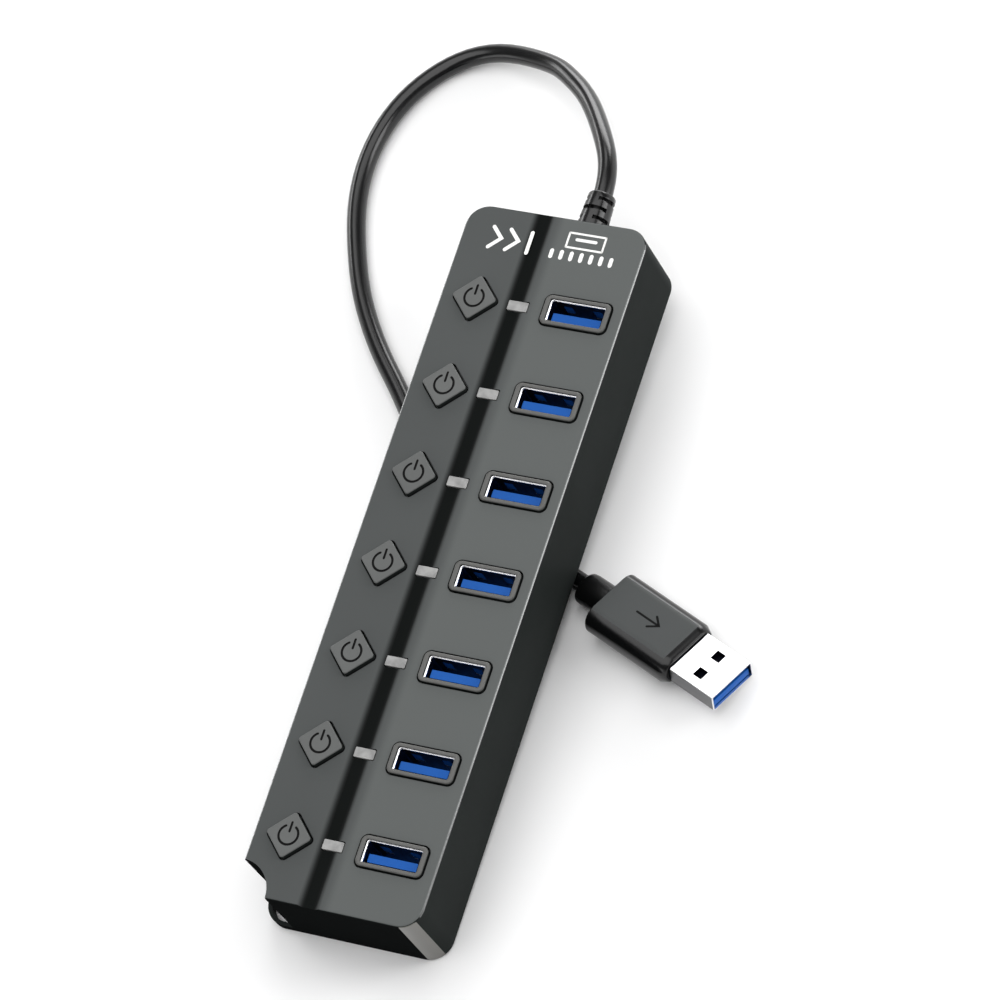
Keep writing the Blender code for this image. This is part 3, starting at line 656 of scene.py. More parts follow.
def carve(piece, bm, operation="DIFFERENCE", material=None):
    """A Boolean with a helper shape. The helper goes when the stack is applied."""
    helper = new_piece("helper", bm, material or piece.data.materials[0])
    boolean = piece.modifiers.new("carve", "BOOLEAN")
    boolean.operation = operation
    boolean.object = helper
    boolean.material_mode = "TRANSFER"
    return helper


def apply_stack(piece):
    """The piece's modifiers become its mesh, and their helpers are removed."""
    graph = bpy.context.evaluated_depsgraph_get()
    mesh = bpy.data.meshes.new_from_object(piece.evaluated_get(graph))
    helpers = [modifier.object for modifier in piece.modifiers if modifier.type == "BOOLEAN"]
    piece.modifiers.clear()
    piece.data = mesh
    for helper in helpers:
        bpy.data.objects.remove(helper)


def turned_piece(name, profile, material, steps):
    """A solid of revolution about Z, from a profile of radii and heights."""
    line = bmesh.new()
    corners = [line.verts.new((radius, 0, height)) for radius, height in profile]
    for upper, lower in zip(corners, corners[1:]):
        line.edges.new((upper, lower))
    piece = new_piece(name, line, material)
    turn = piece.modifiers.new("turn", "SCREW")
    turn.steps = turn.render_steps = steps
    turn.use_merge_vertices = True
    turn.merge_threshold = 0.01 * MM
    apply_stack(piece)
    return piece


SHARP = math.radians(40)


def soften(piece, width, segments=2):
    """Rounds every sharp edge a little and shades the rest smooth."""
    piece.data.shade_smooth()
    bevel = piece.modifiers.new("soft_edges", "BEVEL")
    bevel.width = width
    bevel.segments = segments
    bevel.limit_method = "ANGLE"
    bevel.angle_limit = SHARP
    bevel.harden_normals = True


def keep_flats(piece, sharp=SHARP):
    """Smooth shading that leaves large flat faces flat."""
    piece.data.shade_smooth()
    piece.data.set_sharp_from_angle(angle=sharp)
    weighted = piece.modifiers.new("flat_faces", "WEIGHTED_NORMAL")
    weighted.keep_sharp = True


def settle(piece, place, body, slot, *nodes):
    """Puts the mesh in its place, and says what the piece rides on and stands for. The slot is not used."""
    piece.data.transform(place)
    piece.data.update()
    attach(piece, body)
    if nodes:
        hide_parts(*nodes)


def copies(pattern, name, node, slot, body="hub", stands_for_it=True):
    """One copy of a pattern piece for each port, at the place of that port's solid."""
    for k in PORTS:
        piece = pattern.copy()
        piece.data = pattern.data.copy()
        piece.name = f"{name}_{k}"
        piece.data.name = piece.name
        bpy.context.scene.collection.objects.link(piece)
        place = CASE @ Matrix.Translation(middle_of(f"{node}_{k}"))
        nodes = [f"{node}_{k}"] if stands_for_it else []
        settle(piece, place, body.format(k), slot, *nodes)
    bpy.data.objects.remove(pattern)
    print(name, "x", len(PORTS))


print("edges count as sharp from", round(math.degrees(SHARP)), "degrees")

# %% [markdown]
# The cord is short and free: it leaves the case, turns back in a loose loop, passes under the case and
# ends in the plug. It is one smooth curve with a round bevel, along the same route as in the model,
# and it runs on a little inside the strain relief and the plug, where it can't be seen. A few passes
# of averaging take the last unevenness out of its bends.

# %% Cord
CORD_DIAMETER = 0.0042
CORD_ROUTE = (
    (0.0030, 0.0908, 0.0188),
    (0.0019, 0.0970, 0.0186),
    (-0.0018, 0.1042, 0.0172),
    (-0.0107, 0.1159, 0.0125),
    (-0.0187, 0.1225, 0.0096),
    (-0.0257, 0.1265, 0.0070),
    (-0.0400, 0.1292, 0.0035),
    (-0.0509, 0.1249, 0.0021),
    (-0.0588, 0.1144, 0.0021),
    (-0.0620, 0.1017, 0.0021),
    (-0.0608, 0.0885, 0.0021),
    (-0.0563, 0.0759, 0.0021),
    (-0.0506, 0.0644, 0.0021),
    (-0.0426, 0.0534, 0.0021),
    (-0.0348, 0.0450, 0.0021),
    (-0.0272, 0.0358, 0.0021),
    (-0.0201, 0.0258, 0.0021),
    (-0.0128, 0.0178, 0.0021),
    (-0.0040, 0.0134, 0.0021),
    (0.0055, 0.0122, 0.0021),
    (0.0140, 0.0111, 0.0021),
    (0.0190, 0.0095, 0.0021),
    (0.0227, 0.0080, 0.0024),
)


def smooth_route(points, steps):
    """Points on a Catmull-Rom curve through the route, with this many steps for each span."""
    route = [Vector(p) for p in points]
    ends = [2 * route[0] - route[1], *route, 2 * route[-1] - route[-2]]
    smooth = []
    for a, b, c, d in zip(ends, ends[1:], ends[2:], ends[3:]):
        for step in range(steps):
            t = step / steps
            pull = (2 * b) + (c - a) * t + (2 * a - 5 * b + 4 * c - d) * t**2
            smooth.append((pull + (3 * b - a - 3 * c + d) * t**3) / 2)
    smooth.append(route[-1])
    return smooth


HIDDEN_START = (0.0031, 0.0880, 0.0188)
HIDDEN_END = (0.0248, 0.0070, 0.0029)
STEPS_PER_SPAN = 5
AVERAGING_PASSES = 4
route = smooth_route((HIDDEN_START, *CORD_ROUTE, HIDDEN_END), STEPS_PER_SPAN)
for _ in range(AVERAGING_PASSES):
    middles = [(a + 2 * b + c) / 4 for a, b, c in zip(route, route[1:], route[2:])]
    route = [route[0], *middles, route[-1]]
cord_curve = bpy.data.curves.new("cord_flex", "CURVE")
cord_curve.dimensions = "3D"
cord_curve.bevel_depth = CORD_DIAMETER / 2
cord_curve.bevel_resolution = 6
cord_curve.use_fill_caps = True
spline = cord_curve.splines.new("POLY")
spline.points.add(len(route) - 1)
for point, place in zip(spline.points, route):
    point.co = (*place, 1)
spline.use_smooth = True
cord_curve.materials.append(JACKET_RUBBER)
cord_flex = bpy.data.objects.new("cord_flex", cord_curve)
bpy.context.scene.collection.objects.link(cord_flex)
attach(cord_flex, "hub")
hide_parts("cord")

# %% [markdown]
# The strain relief is a tapered rubber sleeve that bends because it is slotted: each level is cut
# through on two sides and held by two bridges, and the next level is cut the other way. A sleeve is
# turned from a profile with Screw, and the slots are ring sectors taken out of it.

# %% Strain relief
relief_low, relief_high = case_box("strain_relief")
RELIEF_X = (relief_low.x + relief_high.x) / 2
RELIEF_Z = (relief_low.z + relief_high.z) / 2
RELIEF_ROOT = CASE_HALF.y + 0.3 * MM
RELIEF_LENGTH = relief_high.y - RELIEF_ROOT
RELIEF_LEVELS = 4
TIP_RADIUS, TIP_ROUND = 3.05 * MM, 0.35 * MM
ROOT_RADIUS = 3.55 * MM
NECK_RADIUS, NECK_BACK = 2.7 * MM, -2.1 * MM
HEAD_RADIUS, HEAD_BACK = 4.4 * MM, -3.6 * MM
SLOT_FLOOR_RADIUS = 2.2 * MM
SLOT_SWEEP = 136
SLOT_TURN = 12


def sector(inner, outer, low_z, high_z, start, sweep, steps=16):
    """A piece of a flat ring, from one angle through a sweep, both in degrees."""
    angles = [math.radians(start + sweep * i / steps) for i in range(steps + 1)]
    border = [(outer * math.cos(a), outer * math.sin(a)) for a in angles]
    border += [(inner * math.cos(a), inner * math.sin(a)) for a in reversed(angles)]
    return skin([[(x, y, low_z) for x, y in border], [(x, y, high_z) for x, y in border]])


sleeve_profile = (
    (0.0, RELIEF_LENGTH),
    (2.75 * MM, RELIEF_LENGTH),
    (TIP_RADIUS, RELIEF_LENGTH - TIP_ROUND),
    (ROOT_RADIUS, 0.0),
    (NECK_RADIUS, 0.0),
    (NECK_RADIUS, NECK_BACK),
    (HEAD_RADIUS, NECK_BACK),
    (HEAD_RADIUS, HEAD_BACK),
    (0.0, HEAD_BACK),
)
relief = turned_piece("ribbed_relief", sleeve_profile, JACKET_RUBBER, steps=64)
level_pitch = RELIEF_LENGTH / (RELIEF_LEVELS + 0.5)
slots = []
for level in range(RELIEF_LEVELS):
    slot_low = (level + 0.50) * level_pitch
    slot_high = slot_low + 0.42 * level_pitch
    for side in (0, 180):
        start = side + 90 * (level % 2) + SLOT_TURN
        slots.append(sector(SLOT_FLOOR_RADIUS, 5 * MM, slot_low, slot_high, start, SLOT_SWEEP))
carve(relief, gather(slots))
apply_stack(relief)
keep_flats(relief)
along_case = Matrix.Translation((RELIEF_X, RELIEF_ROOT, RELIEF_Z)) @ Matrix.Rotation(-math.pi / 2, 4, "X")
settle(relief, CASE @ along_case, "hub", "cord_jacket", "strain_relief")
print("strain relief in mm:", round(RELIEF_LENGTH / MM, 1), "long,", len(slots), "slots")

# %% [markdown]
# The cover is one moulding: a tray upside down, with openings for everything on the face. A block
# with round corners is the start, and Booleans take out the hollow, the groove and the openings. An
# opening's cutter flares at the face, so the edge comes out rounded without a bevel.

# %% Cover: the block and its hollow
CASE_CORNER = 5.0 * MM
EDGE = 0.5 * MM
WALL = 1.8 * MM
FACE_WALL = 2.0 * MM
NOTCH_RADIUS = 7.3 * MM
NOTCH_AT = (-CASE_HALF.x, -CASE_HALF.y)
BAR_HEIGHT = 2.4 * MM
BAR_WIDTH = 0.9 * MM
BAR_STEP = 0.2 * MM
case_width, case_length = 2 * CASE_HALF.x, 2 * CASE_HALF.y


def case_outline(inset, z):
    return outline(case_width - 2 * inset, case_length - 2 * inset, CASE_CORNER - inset, z, steps=20)


bottom_rim = quarter_round(EDGE)
top_rim = [(inset, FACE_Z - height) for inset, height in reversed(bottom_rim)]
case_rings = [case_outline(inset, z) for inset, z in bottom_rim + top_rim]
cover = new_piece("case_cover", skin(case_rings), SHADED_SIDE_PLASTIC, FACE_PLASTIC)
inner_top = FACE_Z - FACE_WALL
hollow = carve(cover, skin([case_outline(WALL, -1 * MM), case_outline(WALL, inner_top)]))
carve(hollow, cylinder(NOTCH_RADIUS + WALL, -2 * MM, FACE_Z, NOTCH_AT, sides=96))
apply_stack(hollow)
carve(cover, cylinder(NOTCH_RADIUS, BAR_HEIGHT, FACE_Z + 1 * MM, NOTCH_AT, sides=96))
eye = carve(cover, skin([case_outline(BAR_WIDTH, -1 * MM), case_outline(BAR_WIDTH, BAR_HEIGHT + 1.5 * MM)]))
carve(eye, cylinder(NOTCH_RADIUS - BAR_STEP, -2 * MM, FACE_Z, NOTCH_AT, sides=96), "INTERSECT")
apply_stack(eye)
apply_stack(cover)
print("cover block:", len(cover.data.polygons), "faces")

# %% [markdown]
# The groove's cutter is a strip whose underside follows a smooth step, so the face runs into the
# groove without a line. The openings are rounded rectangles, and for the buttons squares on a corner.

# %% Cover: groove and openings
GROOVE_DEPTH = 0.4 * MM
GAP = 0.3 * MM
LIGHT_GAP = 0.2 * MM
ON_A_CORNER = Matrix.Rotation(math.pi / 4, 3, "Z")
groove_section = []
for i in range(-14, 15):
    across = i / 14 * GROOVE_LIGHT_HALF
    share = max(0.0, (abs(across) - GROOVE_DARK_HALF) / (GROOVE_LIGHT_HALF - GROOVE_DARK_HALF))
    depth = GROOVE_DEPTH * (1 - share * share * (3 - 2 * share))
    groove_section.append((GROOVE_X + across, FACE_Z - depth))
groove_section += [(GROOVE_X + GROOVE_LIGHT_HALF, FACE_Z + MM), (GROOVE_X - GROOVE_LIGHT_HALF, FACE_Z + MM)]
groove_end = CASE_HALF.y + 2 * MM
groove_strip = skin([[(x, y, z) for x, z in groove_section] for y in (-groove_end, groove_end)])
carve(cover, groove_strip, material=FACE_PLASTIC)


def opening(width, length, corner, centre, turned=False, flare=0.2 * MM):
    """A cutter through the face whose mouth flares out in a small curve."""
    rings = [outline(width, length, corner, inner_top - MM), outline(width, length, corner, FACE_Z - flare)]
    for angle in (22.5, 45, 67.5, 85):
        spread = flare * (1 - math.cos(math.radians(angle)))
        rise = flare * math.sin(math.radians(angle))
        rings.append(outline(width + 2 * spread, length + 2 * spread, corner + spread, FACE_Z - flare + rise))
    spread = 1.2 * flare
    rings.append(outline(width + 2 * spread, length + 2 * spread, corner + spread, FACE_Z + 0.5 * MM))
    shape = skin(rings)
    if turned:
        bmesh.ops.rotate(shape, cent=(0, 0, 0), matrix=ON_A_CORNER, verts=shape.verts)
    bmesh.ops.translate(shape, vec=(centre.x, centre.y, 0), verts=shape.verts)
    return shape


FRAME_OUTER = Vector((15.1, 6.8)) * MM
FRAME_CORNER = 1.3 * MM
LIGHT_SIZE = Vector((4.6, 2.2)) * MM
BUTTON_SIDE = 7.4 * MM
BUTTON_CORNER = 0.7 * MM
frame_room = (FRAME_OUTER.x + 2 * GAP, FRAME_OUTER.y + 2 * GAP)
button_room = (BUTTON_SIDE + 2 * GAP, BUTTON_SIDE + 2 * GAP)
light_room = (LIGHT_SIZE.x + 2 * LIGHT_GAP, LIGHT_SIZE.y + 2 * LIGHT_GAP)
port_openings = [opening(*frame_room, FRAME_CORNER + GAP, middle_of(f"port_bezel_{k}")) for k in PORTS]
button_openings = [
    opening(*button_room, BUTTON_CORNER + GAP, middle_of(f"button_{k}"), turned=True) for k in PORTS
]
light_openings = [
    opening(*light_room, 0.3 * MM, middle_of(f"light_pipe_{k}"), flare=0.02 * MM) for k in PORTS
]
for cutters in (port_openings, button_openings, light_openings):
    carve(cover, gather(cutters))
apply_stack(cover)
print("cover with openings:", len(cover.data.polygons), "faces")

# %% [markdown]
# Inside, four bosses take the screws, and a hole in the end wall holds the strain relief. Then each
# face gets its material by where it looks: up is the satin face with its groove, the long sides take a
# painted shade and the ends along the case a darker painted shade, the rounded rim between face and
# side is polished, and the upright corners are polished and painted lighter and warmer, a painted highlight.

# %% Cover: bosses, cord hole and finishes
BOSS_RADIUS, BOSS_LOW = 2.7 * MM, 2.1 * MM
SCREW_HOLE_RADIUS, SCREW_HOLE_TOP = 1.4 * MM, 11 * MM
CORD_HOLE_RADIUS = 3.0 * MM
SCREWS = range(1, 5)
boss_places = [middle_of(f"screw_{k}") for k in SCREWS]
bosses = [cylinder(BOSS_RADIUS, BOSS_LOW, inner_top + 0.5 * MM, at) for at in boss_places]
screw_holes = [cylinder(SCREW_HOLE_RADIUS, 0, SCREW_HOLE_TOP, at, sides=24) for at in boss_places]
carve(cover, gather(bosses), "UNION")
carve(cover, gather(screw_holes))
cord_hole = cylinder(CORD_HOLE_RADIUS, -4 * MM, 4 * MM, (0, 0))
to_wall = Matrix.Translation((RELIEF_X, CASE_HALF.y, RELIEF_Z)) @ Matrix.Rotation(math.pi / 2, 4, "X")
bmesh.ops.transform(cord_hole, matrix=to_wall, verts=cord_hole.verts)
carve(cover, cord_hole)
apply_stack(cover)
cover.data.materials.clear()
for material in (SHADED_SIDE_PLASTIC, FACE_PLASTIC, SHADED_END_PLASTIC, GROOVE_PLASTIC, RIM_PLASTIC, CORNER_HIGHLIGHT_PLASTIC):
    cover.data.materials.append(material)
SIDE, FACE, END, GROOVE, RIM, CORNER = range(6)
# By where each face looks: the sides and ends take painted shade, the upright corners a painted highlight.
OUTSIDE = 60 * MM
for face in cover.data.polygons:
    normal, centre = face.normal, face.center
    at_side = abs(centre.x) > CASE_HALF.x - EDGE and centre.z > FACE_Z - EDGE
    on_corner = min(abs(normal.x), abs(normal.y)) > 0.15 and centre.xy.dot(normal.xy) > OUTSIDE
    from_notch = (centre.xy - Vector(NOTCH_AT)).length
    face.material_index = SIDE
    if 0.4 < normal.z < 0.95 and at_side:
        face.material_index = RIM
    elif normal.z > 0.75 and centre.z > FACE_Z - MM:
        in_groove = abs(centre.x - GROOVE_X) < GROOVE_DARK_HALF
        face.material_index = GROOVE if in_groove else FACE
    elif on_corner and from_notch > NOTCH_RADIUS + MM:
        face.material_index = CORNER
    elif abs(normal.y) > 0.8:
        face.material_index = END
keep_flats(cover)
settle(cover, CASE, "hub", "case_plastic", "top_cover")
print("cover:", len(cover.data.polygons), "faces")

# %% [markdown]
# Around each socket stands a raised frame, moulded separately and held under the face by a flange.
# It is a closed stack of outlines, up the outside and down the inside, with small roundings at its
# top. Its outer wall takes the painted shade of the case's sides.

# %% Port frames
MOUTH = Vector((12.8, 5.0)) * MM
FRAME_LOW, FRAME_TOP = case_box("port_bezel_1")[0].z, case_box("port_bezel_1")[1].z
FRAME_LIP = 0.5 * MM
FLANGE_THICKNESS = 0.8 * MM
flange_size = size_of("port_bezel_1")
room = Vector((MOUTH.x + 0.9 * MM, MOUTH.y + 0.9 * MM))
frame_rings = [
    outline(flange_size.x, flange_size.y, FRAME_CORNER, FRAME_LOW),
    outline(flange_size.x, flange_size.y, FRAME_CORNER, FRAME_LOW + FLANGE_THICKNESS),
    outline(FRAME_OUTER.x, FRAME_OUTER.y, FRAME_CORNER, FRAME_LOW + FLANGE_THICKNESS),
    outline(FRAME_OUTER.x, FRAME_OUTER.y, FRAME_CORNER, FRAME_TOP - 0.3 * MM),
    outline(FRAME_OUTER.x - 0.16 * MM, FRAME_OUTER.y - 0.16 * MM, FRAME_CORNER, FRAME_TOP - 0.1 * MM),
    outline(FRAME_OUTER.x - 0.5 * MM, FRAME_OUTER.y - 0.5 * MM, FRAME_CORNER - 0.2 * MM, FRAME_TOP),
    outline(MOUTH.x + 0.35 * MM, MOUTH.y + 0.35 * MM, 0.55 * MM, FRAME_TOP),
    outline(MOUTH.x, MOUTH.y, 0.4 * MM, FRAME_TOP - 0.15 * MM),
    outline(MOUTH.x, MOUTH.y, 0.4 * MM, FRAME_TOP - FRAME_LIP),
    outline(room.x, room.y, 0.6 * MM, FRAME_TOP - FRAME_LIP),
    outline(room.x, room.y, 0.6 * MM, FRAME_LOW),
]
port_frame = new_piece("port_frame", skin(frame_rings, around=True), FRAME_PLASTIC, SHADED_SIDE_PLASTIC)
# The outer wall takes the case's painted shade.
for face in port_frame.data.polygons:
    if abs(face.normal.z) < 0.3:
        face.material_index = 1
keep_flats(port_frame, sharp=math.radians(50))
copies(port_frame, "port_frame", "port_bezel", "bezel_plastic")

# %% [markdown]
# A socket's shell is one strip of nickel-plated steel, folded into a tube. At the mouth it is flared,
# to lead a plug in, and each long side has two windows; one side has a spring tab in each of them.
# The tube is a skin of outlines, the windows are cut, and the tabs are thin blades bent into the tube.

# %% Socket shells
SHELL_LOW, SHELL_TOP = case_box("port_shell_1")[0].z, case_box("port_shell_1")[1].z
SHELL_WALL = 0.25 * MM
BORE = Vector((12.2, 4.7)) * MM
WINDOW_X = 3.4 * MM
WINDOW_WIDTH = 2.2 * MM
WINDOW_LOW, WINDOW_HIGH = SHELL_TOP - 5.6 * MM, SHELL_TOP - 2.2 * MM


def shell_outline(across, along, z):
    """The bore, wider by so much on each side."""
    return outline(BORE.x + 2 * across, BORE.y + 2 * along, 0.4 * MM + along / 2, z, steps=5)


flare_x, flare_y = (MOUTH.x - BORE.x) / 2, 0.18 * MM
shell_rings = [
    shell_outline(SHELL_WALL, SHELL_WALL, SHELL_LOW),
    shell_outline(SHELL_WALL, SHELL_WALL, SHELL_TOP - 0.9 * MM),
    shell_outline(SHELL_WALL + flare_x, SHELL_WALL + flare_y, SHELL_TOP - 0.4 * MM),
    shell_outline(SHELL_WALL + flare_x, SHELL_WALL + flare_y, SHELL_TOP),
    shell_outline(flare_x, flare_y, SHELL_TOP),
    shell_outline(flare_x * 0.45, flare_y * 0.15, SHELL_TOP - 0.18 * MM),
    shell_outline(0, 0, SHELL_TOP - 0.36 * MM),
    shell_outline(0, 0, SHELL_LOW),
]
socket_shell = new_piece("socket_shell", skin(shell_rings, around=True), SOCKET_METAL, SHADED_INNER_METAL)
# The inner faces below the mouth take the nickel's painted shade and painted blue reflection.
for face in socket_shell.data.polygons:
    if face.center.xy.dot(face.normal.xy) < 0 and face.center.z < SHELL_TOP - MM:
        face.material_index = 1
windows = [
    block(WINDOW_WIDTH, 8 * MM, 0.2 * MM, (WINDOW_LOW, WINDOW_HIGH), (x, 0), steps=2)
    for x in (-WINDOW_X, WINDOW_X)
]
carve(socket_shell, gather(windows))
apply_stack(socket_shell)


def spring_tab(x):
    """A blade that hangs from the top of a window and bends into the tube, with a lip at its end."""
    half = WINDOW_WIDTH / 2 - 0.25 * MM
    wall_y = -(BORE.y / 2 + 0.12 * MM)
    path = (
        (wall_y, WINDOW_HIGH + 0.2 * MM),
        (wall_y + 0.10 * MM, WINDOW_HIGH - 0.6 * MM),
        (wall_y + 0.45 * MM, WINDOW_LOW + 1.0 * MM),
        (wall_y + 0.30 * MM, WINDOW_LOW + 0.5 * MM),
    )
    blade = bmesh.new()
    rows = [[blade.verts.new((x + end * half, y, z)) for end in (-1, 1)] for y, z in path]
    for upper, lower in zip(rows, rows[1:]):
        blade.faces.new((upper[0], upper[1], lower[1], lower[0]))
    bmesh.ops.solidify(blade, geom=list(blade.faces), thickness=0.15 * MM)
    bmesh.ops.recalc_face_normals(blade, faces=blade.faces)
    return blade


tabs = gather([spring_tab(x) for x in (-WINDOW_X, WINDOW_X)])
tabs.from_mesh(socket_shell.data)
tabs.to_mesh(socket_shell.data)
tabs.free()
keep_flats(socket_shell, sharp=math.radians(50))
copies(socket_shell, "socket_shell", "port_shell", "socket_metal")

# %% [markdown]
# The blue plastic inside a socket is a foot with a tongue off its middle, which carries the contacts
# on the side with more room. Behind each window on that side stands a blue wall of the same moulding.

# %% Socket tongues
TONGUE = Vector((11.1, 1.84)) * MM
TONGUE_Y = -0.92 * MM
TONGUE_TOP = case_box("port_insulator_1")[1].z
FOOT = size_of("port_insulator_1")
foot_top = SHELL_LOW + 3.0 * MM
foot = block(FOOT.x, FOOT.y, 0.3 * MM, (SHELL_LOW, foot_top), steps=3)
tongue = new_piece("socket_tongue", foot, BLUE_PLASTIC)
blade = block(TONGUE.x, TONGUE.y, 0.15 * MM, (foot_top - MM, TONGUE_TOP), (0, TONGUE_Y), steps=3)
carve(tongue, blade, "UNION")
wall_middle = BORE.y / 2 + 0.12 * MM
wall_heights = (WINDOW_LOW + 0.4 * MM, WINDOW_HIGH - 0.1 * MM)
window_walls = [
    block(WINDOW_WIDTH - 0.2 * MM, 0.2 * MM, 0.05 * MM, wall_heights, (x, wall_middle), steps=1)
    for x in (-WINDOW_X, WINDOW_X)
]
carve(tongue, gather(window_walls), "UNION")
apply_stack(tongue)
soften(tongue, 0.15 * MM)
copies(tongue, "socket_tongue", "port_insulator", "blue_plastic")

# %% [markdown]
# Four gilt contacts lie along each tongue. They belong to the visual model alone and stand for no
# solid of the engineering model.

# %% Socket contacts
CONTACTS_AT = (-3.5, -1.0, 1.0, 3.5)
CONTACT_WIDTH = 1.0 * MM
CONTACT_THICKNESS = 0.12 * MM
near, far = TONGUE_Y + TONGUE.y / 2, TONGUE_Y + TONGUE.y / 2 + CONTACT_THICKNESS
contact_heights = (foot_top, TONGUE_TOP - 1.2 * MM)
contact_strips = [
    block(CONTACT_WIDTH, far - near, 0.03 * MM, contact_heights, (x * MM, (near + far) / 2), steps=1)
    for x in CONTACTS_AT
]
contacts = new_piece("socket_contacts", gather(contact_strips), CONTACT_GOLD)
copies(contacts, "socket_contacts", "port_shell", "socket_metal", stands_for_it=False)

# %% [markdown]
# A button is a square cap standing on its corner, with a flange that stops it under the face and a
# stem down to its switch. The power sign is cut into the cap, and the Boolean carries the black of
# the cutter into the cut. The sign is drawn as strokes: a path, made wide, with round ends.

# %% Buttons
def stroke(path, width, low_z, high_z, cap_steps=6):
    """A line of some width along a path, with round ends, as a closed solid."""
    points = [Vector((x, y)) for x, y in path]
    half = width / 2
    headings = [(b - a).normalized() for a, b in zip(points, points[1:])]
    normals = []
    for i in range(len(points)):
        joined = headings[max(i - 1, 0)] + headings[min(i, len(headings) - 1)]
        joined.normalize()
        stretch = 1 / max(joined.dot(headings[min(i, len(headings) - 1)]), 0.3)
        normals.append(Vector((-joined.y, joined.x)) * stretch)
    border = [p + n * half for p, n in zip(points, normals)]
    for end, heading in ((points[-1], headings[-1]), (points[0], -headings[0])):
        left = Vector((-heading.y, heading.x))
        for step in range(1, cap_steps):
            angle = step / cap_steps * math.pi
            border.append(end + half * (left * math.cos(angle) + heading * math.sin(angle)))
        if end is points[-1]:
            border += [p - n * half for p, n in reversed(list(zip(points, normals)))]
    return skin([[(p.x, p.y, low_z) for p in border], [(p.x, p.y, high_z) for p in border]])


BUTTON_LOW, BUTTON_TOP = case_box("button_1")[0].z, case_box("button_1")[1].z
CAP_LOW = FACE_Z - 2.8 * MM
FLANGE_SIDE = 8.6 * MM
SIGN_RADIUS = 2.15 * MM
SIGN_STROKE = 0.52 * MM
SIGN_DEPTH = 0.12 * MM
SIGN_GAP = 64
STEM_RADIUS = 1.5 * MM
cap_profile = (
    (0, 0, CAP_LOW),
    (0, 0, BUTTON_TOP - 0.22 * MM),
    (0.13 * MM, 0.03 * MM, BUTTON_TOP - 0.06 * MM),
    (0.44 * MM, 0.1 * MM, BUTTON_TOP),
)
cap_rings = []
for narrower, sharper, z in cap_profile:
    cap_rings.append(outline(BUTTON_SIDE - narrower, BUTTON_SIDE - narrower, BUTTON_CORNER - sharper, z))
cap_shape = skin(cap_rings)
flange_top = FACE_Z - 2.3 * MM
flange_shape = block(FLANGE_SIDE, FLANGE_SIDE, 1.2 * MM, (flange_top - 0.9 * MM, flange_top))
for shape in (cap_shape, flange_shape):
    bmesh.ops.rotate(shape, cent=(0, 0, 0), matrix=ON_A_CORNER, verts=shape.verts)
button = new_piece("power_button", cap_shape, BUTTON_PLASTIC, SHADED_SIDE_PLASTIC, SYMBOL_BLACK)
# The cap's upright sides take the case's painted shade.
for face in button.data.polygons:
    if abs(face.normal.z) < 0.3:
        face.material_index = 1
carve(button, flange_shape, "UNION")
carve(button, cylinder(STEM_RADIUS, BUTTON_LOW, CAP_LOW + 0.5 * MM, (0, 0), sides=32), "UNION")
arc = [math.radians(90 + SIGN_GAP / 2 + (360 - SIGN_GAP) * i / 40) for i in range(41)]
ring_path = [(SIGN_RADIUS * math.cos(a), SIGN_RADIUS * math.sin(a)) for a in arc]
bar_path = [(0, 0.75 * MM), (0, 2.75 * MM)]
for path in (ring_path, bar_path):
    sign = stroke(path, SIGN_STROKE, BUTTON_TOP - SIGN_DEPTH, BUTTON_TOP + MM)
    carve(button, sign, material=SYMBOL_BLACK)
apply_stack(button)
keep_flats(button, sharp=math.radians(50))
copies(button, "power_button", "button", "button_plastic", body="button_{}")

# %% [markdown]
# Each light bar comes up across the groove and stands a little proud of its floor. A box with a
# flange is all it is, and the rounded edges catch the light.

# %% Light bars
PIPE_LOW, PIPE_TOP = case_box("light_pipe_1")[0].z, case_box("light_pipe_1")[1].z
bar_shape = block(LIGHT_SIZE.x, LIGHT_SIZE.y, 0.2 * MM, (PIPE_LOW, PIPE_TOP), steps=3)
light_bar = new_piece("light_bar", bar_shape, LIGHT_ACRYLIC)
pipe_flange = size_of("light_pipe_1")
flange_heights = (flange_top - FLANGE_THICKNESS, flange_top)
carve(light_bar, block(pipe_flange.x, pipe_flange.y, 0.2 * MM, flange_heights, steps=2), "UNION")
apply_stack(light_bar)
soften(light_bar, 0.12 * MM, segments=3)
copies(light_bar, "light_bar", "light_pipe", "light_pipe_plastic")

# %% [markdown]
# The screws are turned from a profile with a domed head, and a cross is cut into the head with two
# narrow blocks that taper.

# %% Screws
SCREW_PROFILE = (
    (0.0, 10.0),
    (0.66, 10.0),
    (1.1, 9.4),
    (1.1, 0.8),
    (2.0, 0.8),
    (2.0, 0.45),
    (1.85, 0.25),
    (1.3, 0.12),
    (0.0, 0.1),
)
CROSS_LONG, CROSS_SHORT, CROSS_TAPER = 2.4 * MM, 0.5 * MM, 0.6
screw_line = [(radius * MM, height * MM) for radius, height in SCREW_PROFILE]
for k, boss_place in zip(SCREWS, boss_places):
    screw = turned_piece(f"case_screw_{k}", screw_line, SCREW_STEEL, steps=32)
    for long_x, long_y in ((CROSS_LONG, CROSS_SHORT), (CROSS_SHORT, CROSS_LONG)):
        slot_rings = [
            outline(long_x, long_y, 0.1 * MM, -0.5 * MM, steps=2),
            outline(long_x, long_y, 0.1 * MM, 0.1 * MM, steps=2),
            outline(long_x * CROSS_TAPER, long_y * CROSS_TAPER, 0.05 * MM, 0.75 * MM, steps=2),
        ]
        carve(screw, skin(slot_rings), material=SCREW_STEEL)
    apply_stack(screw)
    keep_flats(screw)
    tightened = Matrix.Rotation(math.radians(25 * k), 4, "Z")
    settle(screw, CASE @ Matrix.Translation(boss_place) @ tightened, "hub", "screw_steel", f"screw_{k}")
print("screws:", len(SCREWS))

